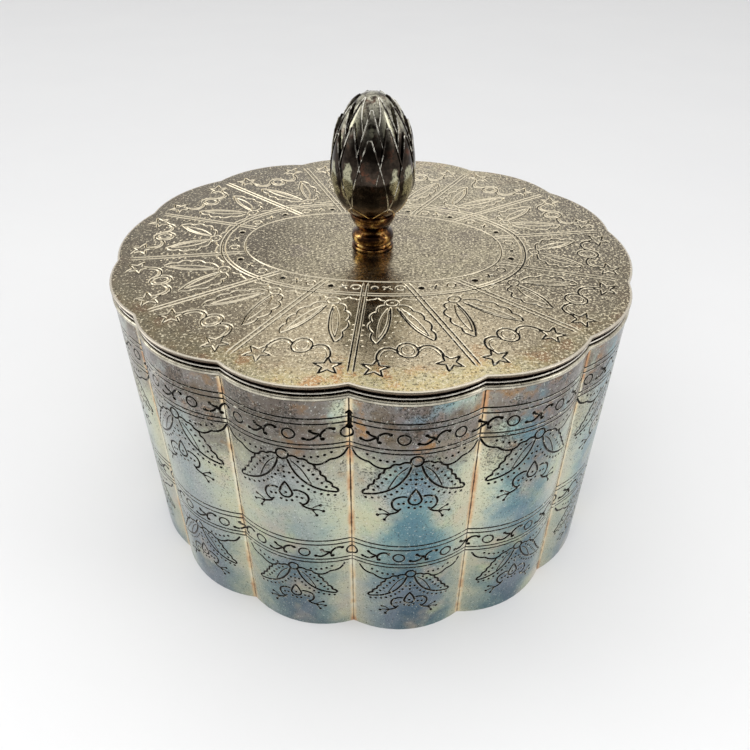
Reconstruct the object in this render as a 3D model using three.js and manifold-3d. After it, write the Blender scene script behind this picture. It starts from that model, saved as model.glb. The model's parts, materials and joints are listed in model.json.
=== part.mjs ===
// Fluted oval trinket box in engraved silver plate, shaped like a small tea caddy.
// A straight wall of fourteen shallow lobes stands on a flat base, a flat lid with the same
// outline is hinged at the back, and a bud finial is screwed through the middle of the lid.
//
// Units are millimetres. The origin is the middle of the underside, +Z is up, the mock
// keyhole side is -Y, the hinge side is +Y, and the long way of the oval runs along X.

import * as THREE from 'three';
import { mergeVertices } from 'three/addons/utils/BufferGeometryUtils.js';
import Module from 'manifold-3d';

const wasm = await Module();
wasm.setup();

// ---------------------------------------------------------------- driving dimensions

const GAP = 0.3; // room between neighbouring pieces

// Outline: the creases between the lobes lie on a superellipse, evenly spaced along it.
const LOBES = 14;
const CREASE_HALF_WIDTH = 49;
const CREASE_HALF_DEPTH = 44.4;
const SUPERELLIPSE_POWER = 2.1;
const END_LOBE_BULGE = 2.1;
const FRONT_LOBE_EXTRA_BULGE = 1;
const LOBE_STEPS = 6;
const CREASE_STEPS = 2;

// Body
const BODY_HEIGHT = 59;
const BASE_THICKNESS = 1.2;
const WALL_THICKNESS = 1.2;
const RIM_HEIGHT = 0.9;
const RIM_OVERHANG = 0.2;

// Lining
const LINING_THICKNESS = 1;
const LINING_TOP = 56;
const FLOOR_PAD_THICKNESS = 3;
const PAD_CORNER = 0.8;

// Lid
const LID_TOP = 61;
const LID_THICKNESS = 0.6;
const LID_LIP_INSET = 0.15;
const LID_LIP_HEIGHT = 0.35;
const LID_NECK_INSET = 0.9;
const FLANGE_CLEARANCE = 0.4;
const FLANGE_THICKNESS = 0.8;
const FLANGE_DEPTH = 3;
const LID_PAD_THICKNESS = 3.1;
const LID_PAD_HOLE_RADIUS = 6.5;

// Hinge
const HINGE_Y = 48.3;
const HINGE_Z = 58.6;
const KNUCKLES = 5;
const KNUCKLE_LENGTH = 2.3;
const KNUCKLE_RADIUS = 1.4;
const KNUCKLE_BORE_RADIUS = 0.9;
const PIN_RADIUS = 0.6;
const BEARER_HALF_LENGTH = 6.3;
const BEARER_FRONT_Y = 44;
const BODY_BEARER_DROP = 5.1;

// Finial, as heights above the top of the lid
const PEDESTAL_HEIGHT = 7;
const BUD_HEIGHT = 29.6;
const BUD_WIDEST = 15;
const BUD_LOWER_HALF = 8.8;
const BUD_RADIUS = 7.3;
const BUD_SEGMENTS = 40;
const BUD_RINGS = 24;
const LEAF_ROWS = 4;
const LEAVES_PER_ROW = 6;
const LEAF_STEP = 0.12;
const LEAF_CROWN = 0.22;
const STUD_RADIUS = 1.25;
const STUD_REACH = 7;
const WASHER_RADIUS = 4.5;
const WASHER_THICKNESS = 0.6;
const NUT_RADIUS = 3.2;
const NUT_THICKNESS = 1.8;

// Levels and radii that follow from the dimensions above
const WALL_BOTTOM = BASE_THICKNESS + GAP;
const RIM_BOTTOM = BODY_HEIGHT - RIM_HEIGHT;
const WALL_TOP = RIM_BOTTOM - GAP;
const LINING_OUTSIDE = WALL_THICKNESS + GAP;
const LINING_INSIDE = LINING_OUTSIDE + LINING_THICKNESS;
const LIP_BOTTOM = BODY_HEIGHT + GAP;
const LIP_TOP = LIP_BOTTOM + LID_LIP_HEIGHT;
const LID_UNDERSIDE = LID_TOP - LID_THICKNESS;
const LID_FITTINGS_TOP = LID_UNDERSIDE - GAP;
const FLANGE_OUTSIDE = WALL_THICKNESS + FLANGE_CLEARANCE;
const FLANGE_INSIDE = FLANGE_OUTSIDE + FLANGE_THICKNESS;
const BORE_RADIUS = STUD_RADIUS + GAP;
const NUT_TOP = LID_FITTINGS_TOP - WASHER_THICKNESS - GAP;
const NUT_BOTTOM = NUT_TOP - NUT_THICKNESS;
const BUD_BOTTOM = PEDESTAL_HEIGHT + GAP;
const HINGE_HALF_LENGTH = (KNUCKLES * KNUCKLE_LENGTH + (KNUCKLES - 1) * GAP) / 2;

// ---------------------------------------------------------------- scalloped outline

// A point of the crease superellipse; the angle runs counter-clockwise from the front.
function superellipse(angle) {
  const power = 2 / SUPERELLIPSE_POWER;
  const across = Math.sin(angle);
  const along = -Math.cos(angle);
  return new THREE.Vector2(
    CREASE_HALF_WIDTH * Math.sign(across) * Math.abs(across) ** power,
    CREASE_HALF_DEPTH * Math.sign(along) * Math.abs(along) ** power,
  );
}

// The creases, spaced evenly along the superellipse, starting at the front middle.
function creasePoints() {
  const steps = 2800;
  const points = Array.from({ length: steps + 1 }, (_, i) => superellipse((i / steps) * 2 * Math.PI));
  const lengths = [0];
  for (let i = 1; i <= steps; i += 1) {
    lengths.push(lengths[i - 1] + points[i].distanceTo(points[i - 1]));
  }
  return Array.from({ length: LOBES }, (_, k) => {
    const target = (k / LOBES) * lengths[steps];
    return points[lengths.findIndex((length) => length >= target - 1e-6)].clone();
  });
}

// Each lobe is one circular arc from its crease to the next.
function lobeArcs() {
  const creases = creasePoints();
  return creases.map((start, k) => {
    const end = creases[(k + 1) % LOBES];
    const chord = end.clone().sub(start);
    const halfChord = chord.length() / 2;
    const normal = new THREE.Vector2(chord.y, -chord.x).normalize();
    const bulge = END_LOBE_BULGE + FRONT_LOBE_EXTRA_BULGE * Math.abs(normal.y);
    const radius = (halfChord ** 2 + bulge ** 2) / (2 * bulge);
    const middle = start.clone().add(end).multiplyScalar(0.5);
    const centre = middle.addScaledVector(normal, bulge - radius);
    return { start, end, centre, radius };
  });
}

const ARCS = lobeArcs();

// Where two grown lobe circles cross, next to the crease that they share.
function crossing(first, second, growth) {
  const r1 = first.radius + growth;
  const r2 = second.radius + growth;
  const between = second.centre.clone().sub(first.centre);
  const distance = between.length();
  const along = (distance ** 2 + r1 ** 2 - r2 ** 2) / (2 * distance);
  const aside = Math.sqrt(r1 ** 2 - along ** 2);
  const direction = between.normalize();
  const outward = new THREE.Vector2(direction.y, -direction.x);
  return first.centre.clone().addScaledVector(direction, along).addScaledVector(outward, aside);
}

function arcPoints(centre, radius, from, to, steps) {
  return Array.from({ length: steps }, (_, i) => {
    const angle = from + ((to - from) * i) / steps;
    return new THREE.Vector2(centre.x + radius * Math.cos(angle), centre.y + radius * Math.sin(angle));
  });
}

function angleFrom(centre, point) {
  return Math.atan2(point.y - centre.y, point.x - centre.x);
}

// The outline moved outwards by growth. Moved inwards, it turns each crease into a small arc.
function outline(growth) {
  const points = [];
  ARCS.forEach((arc, k) => {
    const next = ARCS[(k + 1) % LOBES];
    const previous = ARCS[(k + LOBES - 1) % LOBES];
    const first = growth > 0 ? crossing(previous, arc, growth) : arc.start;
    const last = growth > 0 ? crossing(arc, next, growth) : arc.end;
    const from = angleFrom(arc.centre, first);
    const sweep = THREE.MathUtils.euclideanModulo(angleFrom(arc.centre, last) - from, 2 * Math.PI);
    points.push(...arcPoints(arc.centre, arc.radius + growth, from, from + sweep, LOBE_STEPS));
    if (growth < 0) {
      const turnStart = from + sweep + Math.PI;
      const turnEnd = angleFrom(next.centre, next.start) + Math.PI;
      const turn = THREE.MathUtils.euclideanModulo(turnStart - turnEnd, 2 * Math.PI);
      points.push(...arcPoints(arc.end, -growth, turnStart, turnStart - turn, CREASE_STEPS));
    }
  });
  return points;
}

// ---------------------------------------------------------------- solids

function extrude(shape, bottom, top, bevel = 0) {
  const geometry = new THREE.ExtrudeGeometry(shape, {
    depth: top - bottom - 2 * bevel,
    bevelEnabled: bevel > 0,
    bevelThickness: bevel,
    bevelSize: bevel,
    bevelOffset: -bevel,
    bevelSegments: 2,
  });
  return geometry.translate(0, 0, bottom + bevel);
}

function scallopedPlate(growth, bottom, top) {
  return extrude(new THREE.Shape(outline(growth)), bottom, top);
}

function scallopedRing(outside, inside, bottom, top) {
  const shape = new THREE.Shape(outline(outside));
  shape.holes.push(new THREE.Path(outline(inside)));
  return extrude(shape, bottom, top);
}

function cylinderAlongX(radius, from, to, segments, y, z) {
  const geometry = new THREE.CylinderGeometry(radius, radius, to - from, segments);
  return geometry.rotateZ(Math.PI / 2).translate((from + to) / 2, y, z);
}

function tube(outer, inner, bottom, top, segments) {
  const profile = [
    new THREE.Vector2(inner, bottom),
    new THREE.Vector2(outer, bottom),
    new THREE.Vector2(outer, top),
    new THREE.Vector2(inner, top),
    new THREE.Vector2(inner, bottom),
  ];
  return new THREE.LatheGeometry(profile, segments).rotateX(Math.PI / 2);
}

function toSolid(geometry) {
  const bare = geometry.clone();
  bare.deleteAttribute('normal');
  bare.deleteAttribute('uv');
  const merged = mergeVertices(bare, 1e-4);
  return new wasm.Manifold(new wasm.Mesh({
    numProp: 3,
    vertProperties: new Float32Array(merged.attributes.position.array),
    triVerts: new Uint32Array(merged.index.array),
  }));
}

function toGeometry(solid) {
  const mesh = solid.getMesh();
  const geometry = new THREE.BufferGeometry();
  geometry.setAttribute('position', new THREE.BufferAttribute(mesh.vertProperties, 3));
  geometry.setIndex(new THREE.BufferAttribute(mesh.triVerts, 1));
  return geometry;
}

// ---------------------------------------------------------------- body

function basePlate() {
  return scallopedPlate(0, 0, BASE_THICKNESS);
}

function bodyWall() {
  return scallopedRing(0, -WALL_THICKNESS, WALL_BOTTOM, WALL_TOP);
}

function mouthRim() {
  return scallopedRing(RIM_OVERHANG, -WALL_THICKNESS, RIM_BOTTOM, BODY_HEIGHT);
}

function wallLining() {
  return scallopedRing(-LINING_OUTSIDE, -LINING_INSIDE, WALL_BOTTOM, LINING_TOP);
}

function floorPad() {
  const shape = new THREE.Shape(outline(-LINING_INSIDE - GAP));
  return extrude(shape, WALL_BOTTOM, WALL_BOTTOM + FLOOR_PAD_THICKNESS, PAD_CORNER);
}

// ---------------------------------------------------------------- lid

function lidPlate() {
  const shape = new THREE.Shape(outline(RIM_OVERHANG));
  shape.holes.push(new THREE.Path().absarc(0, 0, BORE_RADIUS, 0, 2 * Math.PI));
  return extrude(shape, LID_UNDERSIDE, LID_TOP);
}

// The band soldered under the lid plate: a recessed neck, a lip, and a flange in the mouth.
function lidRim() {
  const overlap = 0.1;
  const flangeBottom = LIP_BOTTOM - FLANGE_DEPTH;
  const neck = scallopedRing(-LID_NECK_INSET, -FLANGE_INSIDE, LIP_TOP - overlap, LID_FITTINGS_TOP);
  const lip = scallopedRing(-LID_LIP_INSET, -FLANGE_INSIDE, LIP_BOTTOM, LIP_TOP);
  const flange = scallopedRing(-FLANGE_OUTSIDE, -FLANGE_INSIDE, flangeBottom, LIP_BOTTOM + overlap);
  return toGeometry(toSolid(neck).add(toSolid(lip)).add(toSolid(flange)));
}

function lidPad() {
  const shape = new THREE.Shape(outline(-FLANGE_INSIDE - GAP));
  shape.holes.push(new THREE.Path().absarc(0, 0, LID_PAD_HOLE_RADIUS, 0, 2 * Math.PI));
  return extrude(shape, LID_FITTINGS_TOP - LID_PAD_THICKNESS, LID_FITTINGS_TOP, PAD_CORNER);
}

// ---------------------------------------------------------------- hinge

// A strip of constant section (y, z) along X, hollowed for the knuckles and fitted to the outline.
function hingeBearer(section, clearance) {
  const shape = new THREE.Shape(section.map(([y, z]) => new THREE.Vector2(y, z)));
  const bar = new THREE.ExtrudeGeometry(shape, { depth: 2 * BEARER_HALF_LENGTH, bevelEnabled: false });
  bar.translate(0, 0, -BEARER_HALF_LENGTH).rotateY(Math.PI / 2).rotateX(Math.PI / 2);
  const reach = BEARER_HALF_LENGTH + 1;
  const knuckleRoom = cylinderAlongX(KNUCKLE_RADIUS + GAP, -reach, reach, 32, HINGE_Y, HINGE_Z);
  const bodyRoom = scallopedPlate(clearance, -1, LID_TOP + 1);
  return toGeometry(toSolid(bar).subtract(toSolid(knuckleRoom)).subtract(toSolid(bodyRoom)));
}

// The bearer under the knuckles, against the back of the wall.
function bodyBearer() {
  const bottom = HINGE_Z - BODY_BEARER_DROP;
  const section = [
    [BEARER_FRONT_Y, bottom],
    [HINGE_Y - KNUCKLE_RADIUS, bottom],
    [HINGE_Y + 1.1, HINGE_Z - 2],
    [HINGE_Y + 1.1, WALL_TOP],
    [BEARER_FRONT_Y, WALL_TOP],
  ];
  return hingeBearer(section, GAP);
}

// The bearer over the knuckles, against the back edge of the lid.
function lidBearer() {
  const section = [
    [BEARER_FRONT_Y, LIP_BOTTOM],
    [HINGE_Y, LIP_BOTTOM],
    [HINGE_Y + 0.9, LID_TOP - 0.4],
    [HINGE_Y + 0.5, LID_TOP],
    [BEARER_FRONT_Y, LID_TOP],
  ];
  return hingeBearer(section, RIM_OVERHANG + GAP);
}

function hingeKnuckle(index) {
  const from = -HINGE_HALF_LENGTH + index * (KNUCKLE_LENGTH + GAP);
  const knuckle = tube(KNUCKLE_RADIUS, KNUCKLE_BORE_RADIUS, from, from + KNUCKLE_LENGTH, 20);
  return knuckle.rotateY(Math.PI / 2).translate(0, HINGE_Y, HINGE_Z);
}

function hingePin() {
  return cylinderAlongX(PIN_RADIUS, -HINGE_HALF_LENGTH - GAP, HINGE_HALF_LENGTH + GAP, 16, HINGE_Y, HINGE_Z);
}

// ---------------------------------------------------------------- finial

// Turned pedestal: foot ring, barrel knob, waist bead and a cup that carries the bud.
function finialPedestal() {
  const outside = [
    [3.9, GAP], [3.9, 0.75], [3.7, 0.9], [4.05, 1.3], [4.05, 1.9], [3.7, 2.5], [3.2, 2.9],
    [3.3, 3.2], [3.2, 3.5], [3.3, 4.1], [3.7, 5.1], [4.15, 6.2], [4.3, PEDESTAL_HEIGHT],
  ];
  const profile = [[BORE_RADIUS, GAP], ...outside, [BORE_RADIUS, PEDESTAL_HEIGHT], [BORE_RADIUS, GAP]];
  return lathe(profile, 24);
}

function lathe(profile, segments) {
  const points = profile.map(([radius, height]) => new THREE.Vector2(radius, height));
  return new THREE.LatheGeometry(points, segments).rotateX(Math.PI / 2).translate(0, 0, LID_TOP);
}

// Radius of the bare bud at a height: a long half ellipse over a short one.
function budRadius(height) {
  const half = height > BUD_WIDEST ? BUD_HEIGHT - BUD_WIDEST : BUD_LOWER_HALF;
  return BUD_RADIUS * Math.sqrt(1 - ((height - BUD_WIDEST) / half) ** 2);
}

// Height that the overlapping pointed leaves add at an angle and a share of the bud's height.
function leafRelief(angle, share) {
  for (let row = 0; row < LEAF_ROWS; row += 1) {
    const base = (row - 0.6) / (LEAF_ROWS + 0.4);
    const along = (share - base) / 0.52;
    const turn = (angle / (2 * Math.PI)) * LEAVES_PER_ROW + (row % 2) / 2;
    const aside = Math.abs(turn - Math.round(turn)) * 2;
    const halfWidth = 1.15 * Math.sqrt(Math.max(0, 1 - along));
    if (along < 1 && aside < halfWidth) {
      return (LEAF_ROWS - row) * LEAF_STEP + LEAF_CROWN * (1 - (aside / halfWidth) ** 2);
    }
  }
  return 0;
}

// The bud's outline from foot to tip, with its rings closer together towards the tip.
function budProfile() {
  const footShare = (BUD_BOTTOM - BUD_WIDEST) / (BUD_HEIGHT - BUD_WIDEST);
  const foot = Math.asin(footShare);
  return Array.from({ length: BUD_RINGS }, (_, ring) => {
    const turn = foot + ((Math.PI / 2 - foot) * ring) / BUD_RINGS;
    const height = BUD_WIDEST + (BUD_HEIGHT - BUD_WIDEST) * Math.sin(turn);
    return [budRadius(height), height];
  });
}

function finialBud() {
  const boreEnd = BUD_BOTTOM + STUD_REACH + GAP;
  const bore = [[0, boreEnd], [BORE_RADIUS, boreEnd], [BORE_RADIUS, BUD_BOTTOM]];
  const bud = lathe([...bore, ...budProfile(), [0, BUD_HEIGHT]], BUD_SEGMENTS);
  const position = bud.attributes.position;
  for (let i = 0; i < position.count; i += 1) {
    const x = position.getX(i);
    const y = position.getY(i);
    const radius = Math.hypot(x, y);
    const share = (position.getZ(i) - LID_TOP - BUD_BOTTOM) / (BUD_HEIGHT - BUD_BOTTOM);
    if (radius > BORE_RADIUS + GAP && share > 0) {
      const relief = leafRelief(Math.atan2(y, x), share) * Math.min(1, radius / BUD_RADIUS);
      position.setXY(i, x * (1 + relief / radius), y * (1 + relief / radius));
    }
  }
  return bud;
}

function finialStud() {
  const bottom = NUT_BOTTOM - 0.2;
  const top = LID_TOP + BUD_BOTTOM + STUD_REACH;
  const stud = new THREE.CylinderGeometry(STUD_RADIUS, STUD_RADIUS, top - bottom, 20);
  return stud.rotateX(Math.PI / 2).translate(0, 0, (bottom + top) / 2);
}

function finialWasher() {
  return tube(WASHER_RADIUS, BORE_RADIUS, LID_FITTINGS_TOP - WASHER_THICKNESS, LID_FITTINGS_TOP, 28);
}

function finialNut() {
  const corners = arcPoints(new THREE.Vector2(), NUT_RADIUS, 0, 2 * Math.PI, 6);
  const shape = new THREE.Shape(corners);
  shape.holes.push(new THREE.Path().absarc(0, 0, BORE_RADIUS, 0, 2 * Math.PI));
  return extrude(shape, NUT_BOTTOM, NUT_TOP);
}

// ---------------------------------------------------------------- assembly

const FINISHES = {
  silver: { color: 0x9fa69c, roughness: 0.32, metalness: 1 },
  lidSilver: { color: 0xa39a86, roughness: 0.38, metalness: 1 },
  darkSilver: { color: 0x4c4a45, roughness: 0.2, metalness: 1 },
  brass: { color: 0x8a6a3a, roughness: 0.3, metalness: 1 },
  velvet: { color: 0x1f2a4d, roughness: 1, metalness: 0 },
};

const group = new THREE.Group();

function addPiece(name, geometry, finish) {
  const mesh = new THREE.Mesh(geometry, new THREE.MeshStandardMaterial(FINISHES[finish]));
  mesh.name = name;
  group.add(mesh);
}

addPiece('base_plate', basePlate(), 'silver');
addPiece('body_wall', bodyWall(), 'silver');
addPiece('mouth_rim', mouthRim(), 'silver');
addPiece('wall_lining', wallLining(), 'velvet');
addPiece('floor_pad', floorPad(), 'velvet');
addPiece('lid_plate', lidPlate(), 'lidSilver');
addPiece('lid_rim', lidRim(), 'silver');
addPiece('lid_pad', lidPad(), 'velvet');
addPiece('hinge_body_bearer', bodyBearer(), 'silver');
addPiece('hinge_lid_bearer', lidBearer(), 'silver');
for (let index = 0; index < KNUCKLES; index += 1) {
  addPiece(`hinge_knuckle_${index + 1}`, hingeKnuckle(index), 'silver');
}
addPiece('hinge_pin', hingePin(), 'brass');
addPiece('finial_pedestal', finialPedestal(), 'brass');
addPiece('finial_bud', finialBud(), 'darkSilver');
addPiece('finial_stud', finialStud(), 'brass');
addPiece('finial_washer', finialWasher(), 'brass');
addPiece('finial_nut', finialNut(), 'brass');

export default group;
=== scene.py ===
# Looks of the engraved oval box with a bud finial, built round its CAD frame.
# Shapes are worked out in millimetres in the frame's axes and written to meshes in metres.
# The mock keyhole is at the front, -Y, and the hinge at the back, +Y.
import json
import math

import bpy
import numpy as np
from mathutils import Matrix, Vector
from mathutils.geometry import delaunay_2d_cdt


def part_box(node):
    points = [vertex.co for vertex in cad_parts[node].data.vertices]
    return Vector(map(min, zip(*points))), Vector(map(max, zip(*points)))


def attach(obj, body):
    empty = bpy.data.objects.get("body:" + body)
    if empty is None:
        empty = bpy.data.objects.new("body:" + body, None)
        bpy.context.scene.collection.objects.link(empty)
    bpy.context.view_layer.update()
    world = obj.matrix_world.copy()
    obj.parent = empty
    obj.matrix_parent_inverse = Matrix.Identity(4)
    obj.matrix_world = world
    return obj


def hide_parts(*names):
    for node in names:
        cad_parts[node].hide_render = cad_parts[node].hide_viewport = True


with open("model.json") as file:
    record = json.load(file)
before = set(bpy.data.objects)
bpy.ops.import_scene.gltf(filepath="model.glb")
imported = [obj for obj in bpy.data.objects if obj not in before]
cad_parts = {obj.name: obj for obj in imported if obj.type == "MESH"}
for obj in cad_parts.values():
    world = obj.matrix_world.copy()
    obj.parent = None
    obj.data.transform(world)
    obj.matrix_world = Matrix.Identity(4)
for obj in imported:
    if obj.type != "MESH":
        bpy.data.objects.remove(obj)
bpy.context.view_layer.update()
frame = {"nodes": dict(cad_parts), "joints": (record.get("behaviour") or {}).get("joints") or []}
MM = 0.001

# ---- driving dimensions

# Outline: creases evenly spaced on a superellipse, with a circular lobe from each to the next
LOBES = 14
CREASE_HALF_WIDTH = 49.0
CREASE_HALF_DEPTH = 44.4
SUPERELLIPSE_POWER = 2.1
END_LOBE_BULGE = 2.1
FRONT_LOBE_EXTRA_BULGE = 1.0
LOBE_STEPS = 12

# Sheet metal
WALL_THICKNESS = 0.8
EDGE_ROLL = 0.28
LID_GRID = 3.0
RIM_STEPS = 16
WIRE_OUTSIDE, WIRE_INSIDE, WIRE_ROUNDING = 0.2, -1.2, 0.4
BAND_INSIDE, FLANGE_OUTSIDE, NECK_OUTSIDE, LIP_MIDDLE = -2.4, -1.6, -0.9, -0.32
FLANGE_CHAMFER = (0.1, 0.2)
BASE_GAP = 0.05
BASE_BOTTOM = 0.25
BASE_FOOT_WIDTH = 5
BASE_STEP = (1, 0.35)
BORE_RADIUS = 1.55
BORE_SIDES = 48

# Engraving
GROOVE_SLOPE = 0.9
LINE = 0.18
FINE_LINE = 0.15
SPRAY_LINE = 0.24
DOT_RADIUS = 0.31
BALL_RADIUS = DOT_RADIUS * 1.3
RING_SIDES = 20
DOT_SIDES = 8
CURVE_SPACING = 0.35

# Frieze bands of the wall: heights of the paired lines, and the rings between them
UPPER_BAND = dict(lines=(54.6, 53.5, 49.2, 48.3), middle=51.4, rings=33, phase=-0.4)
LOWER_BAND = dict(lines=(25.7, 24.6, 20.6, 19.7), middle=22.5, rings=35, phase=0.0)
RING_RADIUS = 1.03
UPPER_KNOT_HEIGHT = 46.75
LOWER_KNOT_HEIGHT = 17.85
LOWER_SPRAY_SIZE = 0.89

# Lid ornament
INNER_OVAL = (25.4, 14.5)
OUTER_OVAL = (30.0, 19.4)
OVAL_POWER = 2.2
PANEL_DEPTH = 27.3
FRONT_OVAL_REACH = 19.4
FRONT_WEDGE = 0.262
RADIAL_GAP = 0.85
RADIAL_SHORT = 2.2

# Finial, as heights above the lid
BUD_WIDEST = 15.0
BUD_LOWER_HALF = 8.8
BUD_CORE_RADIUS = 7.0
BUD_TOP_POWER = 2.12
LEAVES_PER_ROW = 6


def levels(node):
    """Lowest and highest point of a CAD node, in millimetres."""
    low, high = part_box(node)
    return low.z / MM, high.z / MM


RIM_BOTTOM, RIM_TOP = levels("mouth_rim")
LIP_BOTTOM, LIP_TOP = RIM_TOP + 0.3, RIM_TOP + 0.65
LID_UNDERSIDE, LID_TOP = levels("lid_plate")
BASE_TOP = levels("base_plate")[1]
BAND_BOTTOM, BAND_TOP = levels("lid_rim")
HINGE = frame["joints"][0]["pos_m"]

# ---- outline


def superellipse(angle, half_width, half_depth, power):
    """Points of a superellipse; the angle runs counter-clockwise from the front."""
    across, along = np.sin(angle), -np.cos(angle)
    x = half_width * np.sign(across) * np.abs(across) ** (2 / power)
    y = half_depth * np.sign(along) * np.abs(along) ** (2 / power)
    return np.stack([x, y], axis=-1)


def points_at(curve, shares):
    """Points of a curve at shares of its length."""
    steps = np.linalg.norm(np.diff(curve, axis=0), axis=1)
    lengths = np.concatenate([[0], np.cumsum(steps)])
    places = shares * lengths[-1]
    return np.stack([np.interp(places, lengths, curve[:, i]) for i in (0, 1)], axis=-1)


def even_points(curve, count):
    """Points spaced evenly along a closed curve, from its first point on."""
    return points_at(curve, np.arange(count) / count)


class Lobe:
    """One lobe: a circular arc from its start crease to its end crease."""

    def __init__(self, start, end):
        chord = end - start
        half_chord = np.linalg.norm(chord) / 2
        normal = np.array([chord[1], -chord[0]]) / (2 * half_chord)
        bulge = END_LOBE_BULGE + FRONT_LOBE_EXTRA_BULGE * abs(normal[1])
        self.start, self.end = start, end
        self.radius = (half_chord**2 + bulge**2) / (2 * bulge)
        self.centre = (start + end) / 2 + normal * (bulge - self.radius)
        self.facing = math.atan2(normal[1], normal[0])
        self.half_angle = math.asin(half_chord / self.radius)
        self.length = 2 * self.half_angle * self.radius

    def normal(self, turn):
        """Outward direction at an angle from the lobe's middle."""
        return unit(self.facing + np.asarray(turn))

    def turn_at(self, point):
        """Angle of a point from the lobe's middle."""
        away = point - self.centre
        angle = math.atan2(away[1], away[0]) - self.facing
        return (angle + math.pi) % (2 * math.pi) - math.pi


def make_lobes():
    angles = np.linspace(0, 2 * math.pi, 2801)
    ellipse = superellipse(angles, CREASE_HALF_WIDTH, CREASE_HALF_DEPTH, SUPERELLIPSE_POWER)
    creases = even_points(ellipse, LOBES)
    return [Lobe(creases[k], creases[(k + 1) % LOBES]) for k in range(LOBES)]


OUTLINE = make_lobes()
LOBE_STARTS = np.concatenate([[0], np.cumsum([lobe.length for lobe in OUTLINE])])
PERIMETER = LOBE_STARTS[-1]


def crossing(first, second, growth):
    """Where two neighbouring lobes meet when both are grown."""
    r1, r2 = first.radius + growth, second.radius + growth
    between = second.centre - first.centre
    distance = np.linalg.norm(between)
    along = (distance**2 + r1**2 - r2**2) / (2 * distance)
    aside = math.sqrt(r1**2 - along**2)
    direction = between / distance
    outward = np.array([direction[1], -direction[0]])
    return first.centre + direction * along + outward * aside


def crease_direction(k):
    """Outward direction at the crease after lobe k."""
    after = OUTLINE[(k + 1) % LOBES]
    both = OUTLINE[k].normal(OUTLINE[k].half_angle) + after.normal(-after.half_angle)
    return both / np.linalg.norm(both)


def outline(growth, steps=LOBE_STEPS):
    """The outline grown outwards: for each lobe the points of its arc, then its end crease."""
    points = []
    for k, lobe in enumerate(OUTLINE):
        first, last = -lobe.half_angle, lobe.half_angle
        crease = lobe.end + crease_direction(k) * growth
        if growth > 0:
            crease = crossing(lobe, OUTLINE[(k + 1) % LOBES], growth)
            first = lobe.turn_at(crossing(OUTLINE[k - 1], lobe, growth))
            last = lobe.turn_at(crease)
        turns = np.linspace(first, last, steps + 1)
        points.extend(lobe.centre + lobe.normal(turns) * (lobe.radius + growth))
        points.append(crease)
    return np.array(points)


# ---- curves


def smooth(points, spacing=CURVE_SPACING, closed=False):
    """A smooth curve through the points, as points about that far apart."""
    points = np.asarray(points, float)
    count = len(points)
    if closed:
        control = np.concatenate([points[-1:], points, points[:2]])
    else:
        control = np.concatenate([[2 * points[0] - points[1]], points, [2 * points[-1] - points[-2]]])
    result = []
    for i in range(count if closed else count - 1):
        p0, p1, p2, p3 = control[i : i + 4]
        steps = max(1, math.ceil(np.linalg.norm(p2 - p1) / spacing))
        t = (np.arange(steps) / steps)[:, None]
        bend = (2 * p0 - 5 * p1 + 4 * p2 - p3) * t**2 + (3 * p1 - p0 - 3 * p2 + p3) * t**3
        result.append(p1 + ((p2 - p0) * t + bend) / 2)
    if not closed:
        result.append(points[-1:])
    return np.concatenate(result)


def unit(angles):
    """Unit vectors at angles from +X."""
    return np.stack([np.cos(angles), np.sin(angles)], axis=-1)


def circle(count):
    """Points evenly round a circle of radius 1."""
    return unit(np.linspace(0, 2 * math.pi, count, endpoint=False))


def arc(centre, radius, start, end, steps):
    """Points of an arc between two angles in degrees."""
    return centre + radius * unit(np.radians(np.linspace(start, end, steps + 1)))


def front_circle(radius, count):
    """A circle that starts at the front, as the outline does."""
    return arc((0, 0), radius, -90, 270, count)[:-1]


def sideways(points, closed=False):
    """Unit directions to the left of a curve at each of its points."""
    if closed:
        ahead = np.roll(points, -1, axis=0) - np.roll(points, 1, axis=0)
    else:
        ahead = np.gradient(points, axis=0)
    left = np.column_stack([-ahead[:, 1], ahead[:, 0]])
    return left / np.linalg.norm(left, axis=1)[:, None]


def wavy(points, height, waves):
    """The curve with scallops of that height on its left side."""
    points = smooth(points, CURVE_SPACING * 0.7)
    phase = np.linspace(0, waves * math.pi, len(points))
    return points + sideways(points) * (np.abs(np.sin(phase)) * height)[:, None]


# ---- engraving


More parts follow.
